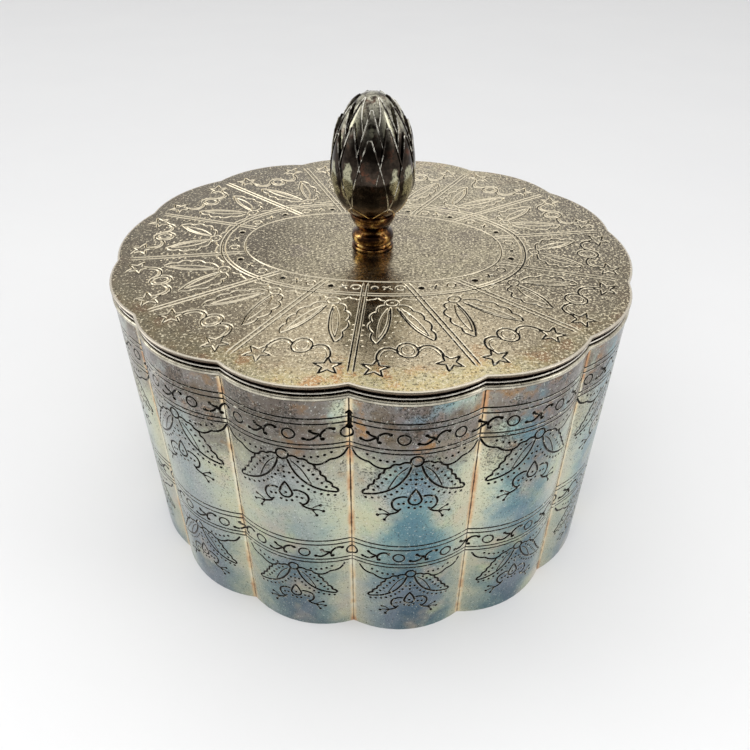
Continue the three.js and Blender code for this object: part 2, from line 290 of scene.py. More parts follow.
class Engraving:
    """Cuts for one surface, in its flat coordinates: pieces of groove, and their centre lines."""

    def __init__(self):
        self.points, self.depths, self.faces, self.segments = [], [], [], []

    def add(self, point, depth=0.0):
        self.points.append(Vector(point))
        self.depths.append(depth)
        return len(self.points) - 1

    def convex(self, face):
        """The face, or if a tight bend has folded it, its triangles turned counter-clockwise."""
        corners = [self.points[i] for i in face]
        after, beyond = corners[1:] + corners[:1], corners[2:] + corners[:2]
        turns = [(b - a).cross(c - b) for a, b, c in zip(corners, after, beyond)]
        if min(turns) > 1e-7:
            return [face]
        if len(face) == 3:
            return [face[::-1]] if max(turns) < -1e-7 else []
        return self.convex(face[:3]) + self.convex((face[0], face[2], face[3]))

    def stroke(self, points, half_width=LINE, closed=False):
        """A V groove along the points, pointed at both ends unless closed."""
        points = np.asarray(points, float)
        left = sideways(points, closed)
        widths = np.full(len(points), half_width)
        if not closed:
            widths[[0, -1]] = 0
        rows = []
        for point, side, width in zip(points, left, widths):
            centre = self.add(point, width)
            if width:
                rows.append((self.add(point + side * width), centre, self.add(point - side * width)))
            else:
                rows.append((centre, centre, centre))
        pairs = list(zip(rows, rows[1:] + rows[:1])) if closed else list(zip(rows, rows[1:]))
        for (l0, c0, r0), (l1, c1, r1) in pairs:
            for face in ((c0, c1, l1, l0), (r0, r1, c1, c0)):
                self.faces.extend(self.convex(tuple(dict.fromkeys(face))))
        ends = np.roll(points, -1, axis=0) if closed else points[1:]
        end_widths = np.roll(widths, -1) if closed else widths[1:]
        self.segments.extend(zip(points, ends, widths, end_widths))

    def dot(self, centre, radius=DOT_RADIUS):
        """A conical punch mark."""
        middle = self.add(centre, radius)
        rim = arc(centre, radius, 0, 360, DOT_SIDES)[:-1]
        rim = [self.add(point) for point in rim]
        for a, b in zip(rim, rim[1:] + rim[:1]):
            self.faces.append((middle, a, b))
        self.segments.append((np.array(centre), np.array(centre), radius, radius))

    def dots(self, place, centres, radius=DOT_RADIUS):
        for centre in centres:
            self.dot(place(np.array(centre)), radius)

    def depth_at(self, point):
        """Depth of the deepest groove at a point where grooves cross."""
        starts, ends, start_widths, end_widths = self.segment_arrays
        along = ends - starts
        squared = np.maximum((along**2).sum(1), 1e-12)
        t = np.clip(((point - starts) * along).sum(1) / squared, 0, 1)
        distance = np.linalg.norm(starts + along * t[:, None] - point, axis=1)
        return max(0.0, (start_widths + (end_widths - start_widths) * t - distance).max())

    def cut(self, sheet, edges, border, hole=None):
        """Triangles of a sheet with the grooves in it.

        border and hole are closed loops of indices into the sheet's points. Returns the points,
        their depths, the triangles, and which triangles are groove.
        """
        self.segment_arrays = [np.array(column) for column in zip(*self.segments)]
        offset = len(sheet)
        loops = [border] + ([hole] if hole else [])
        points = [Vector(point) for point in sheet] + self.points
        faces = loops + [tuple(i + offset for i in face) for face in self.faces]
        made = delaunay_2d_cdt(points, edges, faces, 0, 1e-5)
        found, triangles, came_from, origins = made[0], made[2], made[3], made[5]
        flat = [i for i, o in enumerate(origins) if 0 in o and not (hole and 1 in o)]
        grooves = np.array([any(j >= len(loops) for j in origins[i]) for i in flat])
        triangles = np.array([triangles[i] for i in flat])
        xy = np.array([tuple(point) for point in found])
        at_surface = np.zeros(len(xy), bool)
        at_surface[triangles[~grooves].ravel()] = True
        depths = np.zeros(len(xy))
        for i in np.unique(triangles[grooves]):
            if at_surface[i]:
                continue
            known = [self.depths[o - offset] for o in came_from[i] if o >= offset]
            depths[i] = max(known) if known and max(known) > 0 else self.depth_at(xy[i])
        return xy, depths * GROOVE_SLOPE, triangles, grooves


def mover(origin, across, along):
    """A function that places a motif's points at the origin, along two directions."""
    origin, across, along = (np.asarray(v, float) for v in (origin, across, along))

    def place(points):
        points = np.asarray(points, float)
        return origin + points[..., :1] * across + points[..., 1:] * along

    return place


def flipped(place, side):
    """The same placing, mirrored left to right where side is -1."""
    return lambda points: place(np.asarray(points, float) * (side, 1))


# The wall's spray, about its knot: swags, two leaves, a bud and two scrolls. Left halves only.
SWAG = ((-10.9, 1.4), (-9.0, -0.2), (-7.0, -1.1), (-5.2, -1.4), (-4.0, -1.2))
LEAF_TOP = (
    (-0.95, -0.35), (-2.85, -0.75), (-4.3, -1.55), (-5.4, -2.95), (-6.5, -4.9), (-7.9, -7.1), (-9.0, -8.7),
)
LEAF_UNDER = ((-0.75, -0.85), (-1.5, -3.1), (-2.9, -5.3), (-4.7, -6.9), (-6.7, -7.95), (-9.0, -8.7))
LEAF_LENS = ((-1.25, -1.1), (-2.7, -2.6), (-3.7, -4.4), (-4.6, -6.6))
LEAF_DOT_ROW = ((-2.6, -1.35), (-4.1, -2.9), (-5.4, -4.9), (-7.0, -7.15))
UNDER_DOT_ROW = ((-0.95, -4.1), (-2.1, -5.9), (-3.9, -7.6), (-6.0, -8.75), (-8.4, -9.35))
SWAG_DOTS = ((-8.1, 0.7), (-7.0, 0.2), (-5.9, -0.1), (-4.8, -0.2), (-3.7, -0.05))
MIDDLE_DOTS = ((0, -2.9), (0, -4.1), (0, -5.2))
SCROLL = (
    (-1.15, -8.3), (-2.1, -8.1), (-3.4, -8.7), (-3.9, -9.85), (-3.6, -11.0), (-2.8, -11.5), (-2.2, -10.9),
)
SCROLL_TAIL = ((-2.5, -11.5), (-3.2, -12.1), (-4.1, -12.5), (-5.0, -12.9))
TWIG_ENDS = ((-5.85, -11.6), (-6.3, -13.1), (-5.1, -14.1))
SCROLL_DOTS = ((-2.75, -9.9), (-1.9, -9.75), (-1.0, -10.75))
BUD_TIP, BUD_MIDDLE, BUD_FOOT, BUD_HALF = -6.4, -9.0, -10.15, 1.15


def along_curve(points, count):
    """That many points spaced evenly along a curve, both ends included."""
    return points_at(smooth(points, 0.1), np.linspace(0, 1, count))


def ellipse_ring(centre, radius_x, radius_y):
    return centre + circle(RING_SIDES) * (radius_x, radius_y)


def teardrop(tip, middle, foot, half):
    """A bud outline with its point up."""
    lower = arc((0, 0), 1, 180, 360, 8) * (half, middle - foot) + (0, middle)
    right = smooth([(half, middle), (half * 0.62, middle + (tip - middle) * 0.5), (0, tip)])
    left = right[::-1] * (-1, 1)
    return np.concatenate([lower, right[1:], left[1:-1]])


def engrave_spray(cuts, place):
    """The knot with its leaves, swags, bud and scrolls."""
    cuts.stroke(place(ellipse_ring((0, 0), 1.05, 1.05)), SPRAY_LINE, closed=True)
    cuts.stroke(place(teardrop(BUD_TIP, BUD_MIDDLE, BUD_FOOT, BUD_HALF)), SPRAY_LINE, closed=True)
    cuts.dots(place, MIDDLE_DOTS + ((0, BUD_MIDDLE), (0, BUD_FOOT - 0.85)))
    fork = np.array(SCROLL_TAIL[-2])
    for side in (1, -1):
        half = flipped(place, side)
        cuts.stroke(half(wavy(SWAG, -0.5, 2)), SPRAY_LINE)
        cuts.stroke(half(wavy(LEAF_TOP, -0.34, 7)), SPRAY_LINE)
        cuts.stroke(half(smooth(LEAF_UNDER)), SPRAY_LINE)
        cuts.stroke(half(smooth(LEAF_LENS)), FINE_LINE)
        cuts.dots(half, along_curve(LEAF_DOT_ROW, 7))
        cuts.dots(half, along_curve(UNDER_DOT_ROW, 9))
        cuts.dots(half, SWAG_DOTS + SCROLL_DOTS)
        cuts.stroke(half(smooth(SCROLL)), SPRAY_LINE)
        cuts.stroke(half(smooth(SCROLL_TAIL)), SPRAY_LINE)
        for end in TWIG_ENDS:
            bend = fork + (np.array(end) - fork) * 0.6 + (0, 0.15)
            cuts.stroke(half(smooth([fork, bend, end])), FINE_LINE)
            cuts.dots(half, [end], DOT_RADIUS * 1.15)


# The crossed scrolls between two rings of a frieze: a fork on the left, a hook on the right
CROSS_STROKES = (
    ((-1.2, 0.75), (-0.6, 0.3), (0.45, 0.1)),
    ((-2.5, -0.85), (-1.45, -1.05), (-0.75, -0.8), (-0.3, -0.45), (0.35, 0.15)),
    ((2.75, 0.85), (2.2, 1.15), (1.65, 1.15), (1.1, 0.85), (0.65, 0.35), (0.45, -0.2), (0.45, -0.8)),
    ((0.4, -0.5), (0.6, -1.1), (1.1, -0.85)),
)
CROSS_BALLS = ((-1.15, 0.75), (-2.3, -0.87), (2.55, 0.95), (0.8, -0.95))


def engrave_cross(cuts, place):
    for points in CROSS_STROKES:
        cuts.stroke(place(smooth(points)), LINE * 1.45)
    cuts.dots(place, CROSS_BALLS, BALL_RADIUS)


def engrave_frieze(cuts, lines, middle, rings, phase):
    """Two pairs of lines round the wall, with rings and crossed scrolls between them."""
    columns = np.linspace(-1, PERIMETER + 1, LOBES * LOBE_STEPS + 1)
    for height in lines:
        cuts.stroke(np.column_stack([columns, np.full(len(columns), height)]), LINE)
    pitch = PERIMETER / rings
    for i in range(rings + 1):
        centre = (phase + i * pitch, middle)
        cuts.stroke(ellipse_ring(centre, RING_RADIUS, RING_RADIUS), LINE * 1.15, closed=True)
        engrave_cross(cuts, mover((centre[0] + pitch / 2, middle), (1, 0), (0, 1)))


def engrave_keyhole(cuts, along):
    """The mock keyhole on the front crease: an arrow-topped mark from over the upper lines to a ring."""
    top, ring = UPPER_BAND["lines"][0] + 1.0, UPPER_BAND["middle"] + RING_RADIUS
    shaft = smooth([(along - 0.1, top + 0.3), (along + 0.1, top - 0.8), (along, ring - 0.6)])
    cuts.stroke(shaft, LINE * 2.2)
    for side in (-1, 1):
        cuts.stroke(smooth([(along, top + 0.1), (along + side * 0.7, top - 0.5)]), LINE * 1.3)
        cuts.dot((along + side * 0.3, ring + 0.2), BALL_RADIUS)


def wall_engraving():
    cuts = Engraving()
    engrave_frieze(cuts, **UPPER_BAND)
    engrave_frieze(cuts, **LOWER_BAND)
    for along in (0, PERIMETER):
        engrave_keyhole(cuts, along)
    for k, lobe in enumerate(OUTLINE):
        middle = LOBE_STARTS[k] + lobe.length / 2
        engrave_spray(cuts, mover((middle, UPPER_KNOT_HEIGHT), (1, 0), (0, 1)))
        small = LOWER_SPRAY_SIZE
        engrave_spray(cuts, mover((middle, LOWER_KNOT_HEIGHT), (small, 0), (0, small)))
    return cuts


# A lid panel, from the outer oval (0, 0) outwards along +Y. Right halves only.
PANEL_CIRCLE = (0, 2.3)
PANEL_BUD = (0, 16.6)
PANEL_LEAF_OUTER = ((0.95, 3.0), (2.9, 4.6), (4.6, 7.4), (5.3, 10.8), (5.2, 14.8))
PANEL_LEAF_INNER = ((0.55, 3.6), (1.2, 7.0), (2.7, 11.2), (5.2, 14.8))
PANEL_LENS_OUTER = ((1.1, 4.0), (2.8, 6.8), (4.0, 10.0), (4.7, 13.4))
PANEL_LENS_INNER = ((0.95, 4.4), (1.9, 8.0), (3.2, 11.0), (4.7, 13.4))
PANEL_ARC = ((1.5, 16.9), (2.7, 15.8), (4.3, 15.9), (5.5, 17.3), (6.0, 19.0))
PANEL_ARC_INNER = ((1.7, 17.5), (2.8, 16.5), (4.1, 16.6), (5.0, 17.8), (5.4, 19.2))
PANEL_DASH_ROWS = (
    (((0.25, 6.6), (0.6, 9.0), (1.7, 11.8), (3.6, 14.4)), 6),
    (((6.6, 9.4), (7.2, 11.5), (7.6, 13.6), (7.7, 15.4)), 5),
    (((0.0, 19.6), (1.4, 19.2), (2.7, 18.2), (4.0, 18.0)), 5),
)
DASH_HALF = np.array((0.3, 0.0))
PANEL_SWAG = ((1.2, 1.6), (2.6, 0.7), (4.2, 1.3), (5.0, 0.7))
PANEL_STAR = (6.5, 21.0)
STAR_POINTS = 5
STAR_TIP = 2.35
STAR_WAIST = 0.95


def star(turn):
    """A star with hollow sides, four steps to a side."""
    angles = turn + np.arange(2 * STAR_POINTS) * math.pi / STAR_POINTS
    reach = np.where(np.arange(2 * STAR_POINTS) % 2 == 0, STAR_TIP, STAR_WAIST)
    corners = reach[:, None] * unit(angles)
    ahead = np.roll(corners, -1, axis=0) - corners
    return (corners[:, None] + ahead[:, None] * (np.arange(4) / 4)[:, None]).reshape(-1, 2)


def engrave_panel(cuts, place):
    """One lid panel: circle, V of leaves, oval bud, arcs that end in stars."""
    outward = place(np.array((0.0, 12.0))) - place(np.array((0.0, 11.0)))
    outward /= np.linalg.norm(outward)
    across = (outward[1], -outward[0])

    def spot(centre, shape, half_width=LINE):
        cuts.stroke(mover(place(np.array(centre)), across, outward)(shape), half_width, closed=True)

    spot(PANEL_CIRCLE, ellipse_ring((0, 0), 1.2, 1.0), LINE * 1.3)
    cuts.dot(place(np.array(PANEL_CIRCLE)))
    spot(PANEL_BUD, ellipse_ring((0, 0), 1.7, 2.0), LINE * 1.5)
    spot(PANEL_BUD, ellipse_ring((0, 0), 1.05, 1.3), LINE)
    for side in (1, -1):
        half = flipped(place, side)
        cuts.stroke(half(wavy(PANEL_LEAF_OUTER, -0.6, 4)), LINE * 1.5)
        cuts.stroke(half(smooth(PANEL_LEAF_INNER)), LINE * 1.5)
        for curve in (PANEL_LENS_OUTER, PANEL_LENS_INNER):
            cuts.stroke(half(smooth(curve)), LINE * 1.1)
        cuts.stroke(half(smooth(PANEL_ARC)), LINE * 1.6)
        cuts.stroke(half(smooth(PANEL_ARC_INNER)), LINE)
        cuts.stroke(half(wavy(PANEL_SWAG, 0.3, 3)), LINE)
        for row, count in PANEL_DASH_ROWS:
            shared = row[0][0] == 0 and side < 0
            for middle in along_curve(row, count)[shared:]:
                cuts.stroke(half([middle - DASH_HALF, middle, middle + DASH_HALF]), LINE * 1.3)
        spot(np.array(PANEL_STAR) * (side, 1), star(math.radians(90 + 18 * side)), LINE * 1.5)


def oval_radius(size, angle):
    """Distance from the middle to an oval in a direction given by its angle from +X."""
    x, y = abs(math.cos(angle)) / size[0], abs(math.sin(angle)) / size[1]
    return (x**OVAL_POWER + y**OVAL_POWER) ** (-1 / OVAL_POWER)


def engrave_oval(cuts, size, half_width):
    angles = np.linspace(0, 2 * math.pi, 721)
    curve = superellipse(angles, size[0], size[1], OVAL_POWER)
    cuts.stroke(even_points(curve, 240), half_width, closed=True)


def engrave_radials(cuts):
    """Double lines from the inner oval towards each crease."""
    for lobe in OUTLINE:
        reach = np.linalg.norm(lobe.start)
        direction = lobe.start / reach
        aside = np.array([-direction[1], direction[0]]) * RADIAL_GAP / 2
        first = oval_radius(INNER_OVAL, math.atan2(direction[1], direction[0])) + 0.2
        distances = np.linspace(first, reach - RADIAL_SHORT, 24)[:, None]
        for side in (-1, 1):
            cuts.stroke(direction * distances + aside * side, LINE * 1.35)


OVAL_FRIEZE_CROSS = (
    ((-0.85, -0.7), (0.0, 0.0), (0.95, 0.75)),
    ((-0.8, 0.6), (0.0, 0.0), (0.8, -0.65)),
)


def engrave_oval_frieze(cuts):
    """A cross, a filled dot and a ring in each panel's stretch of the frieze between the ovals."""
    middle_size = [(a + b) / 2 - 0.3 for a, b in zip(INNER_OVAL, OUTER_OVAL)]
    for lobe in OUTLINE:
        first, last = (math.atan2(p[1], p[0]) for p in (lobe.start, lobe.end))
        sweep_angle = (last - first) % (2 * math.pi)
        for share, kind in ((0.22, "dot"), (0.5, "cross"), (0.79, "ring")):
            angle = first + sweep_angle * share
            direction = unit(angle)
            centre = direction * oval_radius(middle_size, angle)
            if kind == "ring":
                cuts.stroke(ellipse_ring(centre, 0.8, 0.8), LINE * 1.4, closed=True)
            elif kind == "dot":
                cuts.dot(centre, DOT_RADIUS * 2.4)
            else:
                put = mover(centre, (-direction[1], direction[0]), direction)
                for points in OVAL_FRIEZE_CROSS:
                    cuts.stroke(put(smooth(points)), LINE * 1.5)


def panel_place(lobe):
    """Puts a panel's points in the wedge between two creases, from the outer oval to the edge."""
    apex = lobe.centre + lobe.normal(0) * lobe.radius
    reach = np.linalg.norm(apex)
    first, last = (math.atan2(p[1], p[0]) for p in (lobe.start, lobe.end))
    half_wedge = ((last - first) % (2 * math.pi)) / 2

    def place(points):
        points = np.asarray(points, float)
        x, y = points[..., 0], points[..., 1]
        share = x / ((FRONT_OVAL_REACH + y) * FRONT_WEDGE)
        angle = first + half_wedge * (1 + np.clip(-share, -1, 1))
        start = np.vectorize(lambda turn: oval_radius(OUTER_OVAL, turn))(angle)
        distance = start + y * (reach - start) / PANEL_DEPTH
        return distance[..., None] * unit(angle)

    return place


def lid_engraving():
    cuts = Engraving()
    engrave_oval(cuts, INNER_OVAL, LINE * 1.3)
    engrave_oval(cuts, OUTER_OVAL, LINE * 1.5)
    engrave_oval(cuts, [size - 0.8 for size in OUTER_OVAL], FINE_LINE)
    engrave_oval_frieze(cuts)
    engrave_radials(cuts)
    for lobe in OUTLINE:
        engrave_panel(cuts, panel_place(lobe))
    return cuts


# ---- meshes


def weld(vertices, faces):
    """Joins vertices at one place, and drops the faces that this closes up."""
    keys = np.round(np.asarray(vertices, float), 3) + 0.0
    _, first, index = np.unique(keys, axis=0, return_index=True, return_inverse=True)
    index = index.ravel()
    cleaned, places = [], []
    for place, face in enumerate(faces):
        loop = list(dict.fromkeys(int(index[i]) for i in face))
        if len(loop) >= 3:
            cleaned.append(loop)
            places.append(place)
    return np.asarray(vertices, float)[first], cleaned, places, first


def add_object(name, data):
    obj = bpy.data.objects.new(name, data)
    bpy.context.scene.collection.objects.link(obj)
    return obj


def make_object(name, vertices, faces, materials, body, nodes, sharp=35):
    """An object in the frame that rides on a body, takes the given materials and stands for CAD nodes."""
    mesh = bpy.data.meshes.new(name)
    mesh.from_pydata((np.asarray(vertices) * MM).tolist(), [], faces)
    mesh.shade_smooth()
    if sharp:
        mesh.set_sharp_from_angle(angle=math.radians(sharp))
    for material in materials:
        mesh.materials.append(material)
    obj = add_object(name, mesh)
    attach(obj, body)
    if nodes:
        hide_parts(*nodes)
    return obj


def add_piece(name, shape, material, body, nodes, sharp=35):
    """A plain piece: a shape's vertices and faces, welded, in one material."""
    vertices, faces, _, first = weld(*shape)
    return make_object(name, vertices, faces, [material], body, nodes, sharp), first


def add_attribute(obj, name, values):
    """A number at each vertex, for a material to read."""
    attribute = obj.data.attributes.new(name, "FLOAT", "POINT")
    attribute.data.foreach_set("value", np.asarray(values, np.float32))


def loft(rings, closed=False):
    """Vertices and faces between rings of equal length that run counter-clockwise, going up."""
    count, total = len(rings[0]), len(rings)
    faces = []
    for j in range(total if closed else total - 1):
        below, above = j * count, (j + 1) % total * count
        for i in range(count):
            after = (i + 1) % count
            faces.append((below + i, below + after, above + after, above + i))
    return np.concatenate(rings), faces


def level_ring(points, height):
    return np.column_stack([points, height * np.ones(len(points))])


def sweep(profile, steps=LOBE_STEPS, closed=True):
    """A section of (growth, height) points carried round the outline."""
    rings = [level_ring(outline(growth, steps), height) for growth, height in profile]
    return loft(rings, closed)


def lathe(profile, segments=96):
    """A profile of (radius, height) points turned about the middle."""
    return loft([level_ring(circle(segments) * radius, height) for radius, height in profile])


def lathe_closed(section, segments):
    return lathe(np.concatenate([section, section[:1]]), segments)


def join(*parts):
    """One list of vertices and faces from several."""
    vertices, faces = [], []
    offset = 0
    for some_vertices, some_faces in parts:
        vertices.append(some_vertices)
        faces.extend(tuple(i + offset for i in face) for face in some_faces)
        offset += len(some_vertices)
    return np.concatenate(vertices), faces


def rounded_bar(outside, inside, bottom, top, radius):
    """Section of a flat bar with rounded corners, counter-clockwise, as (growth, height)."""
    corners = (
        ((outside - radius, bottom + radius), -90),
        ((outside - radius, top - radius), 0),
        ((inside + radius, top - radius), 90),
        ((inside + radius, bottom + radius), 180),
    )
    return np.concatenate([arc(centre, radius, start, start + 90, 4) for centre, start in corners])


# ---- materials


class Nodes:
    """Short calls that build the node tree of one material, or of the world."""

    def __init__(self, name, kind="materials", shader="Principled BSDF"):
        self.material = getattr(bpy.data, kind).new(name)
        self.material.use_nodes = True
        self.tree = self.material.node_tree
        self.shader = self.tree.nodes[shader]

    def feed(self, socket, value):
        if isinstance(value, bpy.types.NodeSocket):
            self.tree.links.new(value, socket)
        elif socket.type == "RGBA":
            socket.default_value = (*value, 1)
        else:
            socket.default_value = value

    def node(self, kind, inputs=None, **settings):
        made = self.tree.nodes.new(kind)
        for key, value in settings.items():
            setattr(made, key, value)
        for key, value in (inputs or {}).items():
            self.feed(made.inputs[key], value)
        return made

    def set(self, **values):
        """Feeds the shader; underscores in names stand for spaces."""
        for key, value in values.items():
            self.feed(self.shader.inputs[key.replace("_", " ")], value)

    def place(self, stretch=(1, 1, 1)):
        """Position in millimetres, stretched along each axis."""
        coordinates = self.node("ShaderNodeTexCoord").outputs["Object"]
        scale = tuple(factor / MM for factor in stretch)
        inputs = {0: coordinates, 1: scale}
        return self.node("ShaderNodeVectorMath", inputs, operation="MULTIPLY").outputs[0]

    def axis(self, name):
        return self.node("ShaderNodeSeparateXYZ", {0: self.place()}).outputs[name]

    def noise(self, size, detail=4.0, roughness=0.55, place=None, distortion=0.0):
        """Noise from 0 to 1 with features of about that many millimetres."""
        inputs = {
            "Vector": place or self.place(),
            "Scale": 1 / size,
            "Detail": detail,
            "Roughness": roughness,
            "Distortion": distortion,
        }
        return self.node("ShaderNodeTexNoise", inputs).outputs["Fac"]

    def cells(self, size):
        """Distance to the nearest of scattered points, in cell sizes."""
        inputs = {"Vector": self.place(), "Scale": 1 / size}
        return self.node("ShaderNodeTexVoronoi", inputs).outputs["Distance"]

    def read(self, name):
        return self.node("ShaderNodeAttribute", attribute_name=name).outputs["Fac"]

    def calc(self, operation, *values, clamp=False):
        inputs = dict(enumerate(values))
        return self.node("ShaderNodeMath", inputs, operation=operation, use_clamp=clamp).outputs[0]

    def times(self, a, b):
        return self.calc("MULTIPLY", a, b)

    def blend(self, value, factor, base):
        """value * factor + base"""
        return self.calc("MULTIPLY_ADD", value, factor, base)

    def far_from(self, axis, place):
        """Distance from a place along one axis, in millimetres."""
        return self.calc("ABSOLUTE", self.calc("SUBTRACT", self.axis(axis), place))

    def ramp(self, value, *stops):
        """Colours or greys at places from 0 to 1."""
        made = self.node("ShaderNodeValToRGB", {"Fac": value})
        elements = made.color_ramp.elements
        while len(elements) < len(stops):
            elements.new(0.5)
        for element, (place, colour) in zip(elements, stops):
            element.position = place
            element.color = (*colour, 1) if isinstance(colour, tuple) else (colour, colour, colour, 1)
        return made.outputs["Color"]

    def span(self, value, low, high, start=0.0, end=1.0):
        """The value's share of the way from low to high, smoothly, as start to end."""
        inputs = {"Value": value, "From Min": low, "From Max": high, "To Min": start, "To Max": end}
        return self.node("ShaderNodeMapRange", inputs, interpolation_type="SMOOTHSTEP").outputs[0]

    def mix(self, factor, a, b, blend="MIX"):
        made = self.node("ShaderNodeMix", data_type="RGBA", blend_type=blend, clamp_factor=True)
        for socket, value in zip((made.inputs[0], made.inputs[6], made.inputs[7]), (factor, a, b)):
            self.feed(socket, value)
        return made.outputs[2]

    def bump(self, *layers):
        """Bump from (height, strength, depth in millimetres) layers, fed to the shader."""
        normal = None
        for height, strength, depth in layers:
            inputs = {"Height": height, "Strength": strength, "Distance": depth * MM}
            if normal is not None:
                inputs["Normal"] = normal
            normal = self.node("ShaderNodeBump", inputs).outputs[0]
        self.feed(self.shader.inputs["Normal"], normal)


def scratches(nodes, size=0.12, stretch=30):
    """Fine hairline wear in two directions, from 0 to 1."""
    first = nodes.noise(size, 2, 0.5, nodes.place((1, 1 / stretch, 1 / stretch)))
    second = nodes.noise(size, 2, 0.5, nodes.place((1 / stretch, 1, 1 / stretch)))
    return nodes.times(first, second)


def finish_metal(nodes, colour, roughness, wave_depth=0.02, grain_depth=0.012):
    """Metal with smudged gloss, hairlines and the slight waves of beaten sheet."""
    smudge = nodes.noise(5, 5, 0.6)
    lines = scratches(nodes)
    low, high = roughness
    gloss = nodes.span(nodes.blend(lines, 0.6, smudge), 0.45, 1.0, low, high)
    nodes.set(Base_Color=colour, Metallic=1.0, Roughness=gloss)
    grain = nodes.noise(0.25, 3, 0.6)
    waves = nodes.noise(6, 2, 0.4)
    nodes.bump((waves, 1.0, wave_depth * 8), (lines, 0.3, 0.01), (grain, 0.35, grain_depth))
    return nodes.material


def body_silver():
    """Silver plate with heat-tinted tarnish: pale gold by the creases, grey-green to teal between, with a
    painted highlight beside each crease and painted shade in it.
    """
    nodes = Nodes("body_silver")
    drift = nodes.calc("SUBTRACT", nodes.noise(8, 4, 0.6), 0.5)
    fine = nodes.calc("SUBTRACT", nodes.noise(1.5, 4, 0.65), 0.5)
    wander = nodes.blend(drift, 13.0, nodes.times(fine, 3.0))
    share = nodes.calc("DIVIDE", nodes.calc("ADD", nodes.read("crease"), wander), 11.0, clamp=True)
    teal = nodes.ramp(
        share,
        (0.0, (0.66, 0.64, 0.46)),
        (0.2, (0.58, 0.61, 0.45)),
        (0.4, (0.41, 0.50, 0.43)),
        (0.6, (0.22, 0.35, 0.35)),
        (0.8, (0.13, 0.25, 0.29)),
        (1.0, (0.12, 0.23, 0.28)),
    )
    grey = nodes.ramp(
        share,
        (0.0, (0.60, 0.59, 0.40)),
        (0.25, (0.54, 0.57, 0.42)),
        (0.5, (0.44, 0.49, 0.41)),
        (0.75, (0.38, 0.42, 0.385)),
        (1.0, (0.31, 0.38, 0.36)),
    )
    low = nodes.ramp(
        share,
        (0.0, (0.50, 0.49, 0.36)),
        (0.25, (0.32, 0.37, 0.31)),
        (0.5, (0.16, 0.24, 0.245)),
        (0.75, (0.078, 0.135, 0.175)),
        (1.0, (0.07, 0.115, 0.16)),
    )
    height = nodes.axis("Z")
    region = nodes.blend(nodes.noise(16, 3), 46.0, nodes.axis("X"))
    colour = nodes.mix(nodes.span(region, 8, 34), grey, teal)
    depth = nodes.blend(drift, 26.0, height)
    colour = nodes.mix(nodes.span(depth, 13, 30, 0.85, 0.0), colour, low)
    bloom = nodes.mix(nodes.span(nodes.noise(5, 3), 0.4, 0.6), (0.62, 0.50, 0.36), (0.55, 0.57, 0.34))
    colour = nodes.mix(nodes.span(nodes.noise(9, 3, 0.5), 0.48, 0.72, 0.0, 0.6), colour, bloom)
    lavender = nodes.span(nodes.noise(12, 3, 0.5), 0.46, 0.66, 0.0, 0.28)
    colour = nodes.mix(lavender, colour, (0.40, 0.40, 0.45))
    by_keyhole = nodes.span(nodes.far_from("X", -14), 5, 13, 1.0, 0.0)
    stain = nodes.span(nodes.blend(by_keyhole, 0.16, nodes.noise(9, 4, 0.6)), 0.34, 0.52)
    near_top = nodes.times(stain, nodes.span(depth, 35, 51))
    brown = nodes.ramp(
        nodes.noise(4, 4, 0.6),
        (0.35, (0.13, 0.085, 0.055)),
        (0.45, (0.17, 0.135, 0.115)),
        (0.55, (0.22, 0.19, 0.18)),
        (0.68, (0.32, 0.17, 0.07)),
    )
    brown = nodes.mix(nodes.times(by_keyhole, 0.5), brown, (0.07, 0.05, 0.035))
    colour = nodes.mix(nodes.times(near_top, 0.9), colour, brown)
    crust = nodes.times(nodes.span(nodes.noise(6, 4, 0.65), 0.42, 0.6), nodes.span(height, 24, 50))
    worn = nodes.blend(crust, 0.10, -0.035)
    grain = nodes.span(nodes.calc("ADD", nodes.noise(0.36, 3, 0.75), worn), 0.55, 0.62, 0.0, 0.85)
    colour = nodes.mix(grain, colour, (0.04, 0.038, 0.032))
    bright = nodes.span(nodes.noise(0.45, 3, 0.75), 0.59, 0.68, 0.0, 0.55)
    colour = nodes.mix(bright, colour, (0.80, 0.82, 0.74))
    # Beside each crease: gold tarnish with a painted highlight.
    seam = nodes.blend(fine, 0.35, nodes.read("crease"))
    warm = nodes.ramp(
        nodes.noise(6, 3),
        (0.36, (0.62, 0.33, 0.16)),
        (0.48, (0.84, 0.66, 0.40)),
        (0.60, (0.84, 0.80, 0.62)),
    )
    colour = nodes.mix(nodes.span(seam, 0.2, 0.9, 0.9, 0.0), colour, warm)
    # Painted shade: a thin dark line in the crease itself, darker higher up.
    crease_shade = nodes.times(nodes.span(seam, 0.06, 0.2, 1.0, 0.0), nodes.span(depth, 4, 44, 0.6, 1.0))
    colour = nodes.mix(crease_shade, colour, (0.045, 0.026, 0.016))
    return finish_metal(nodes, colour, (0.16, 0.34))


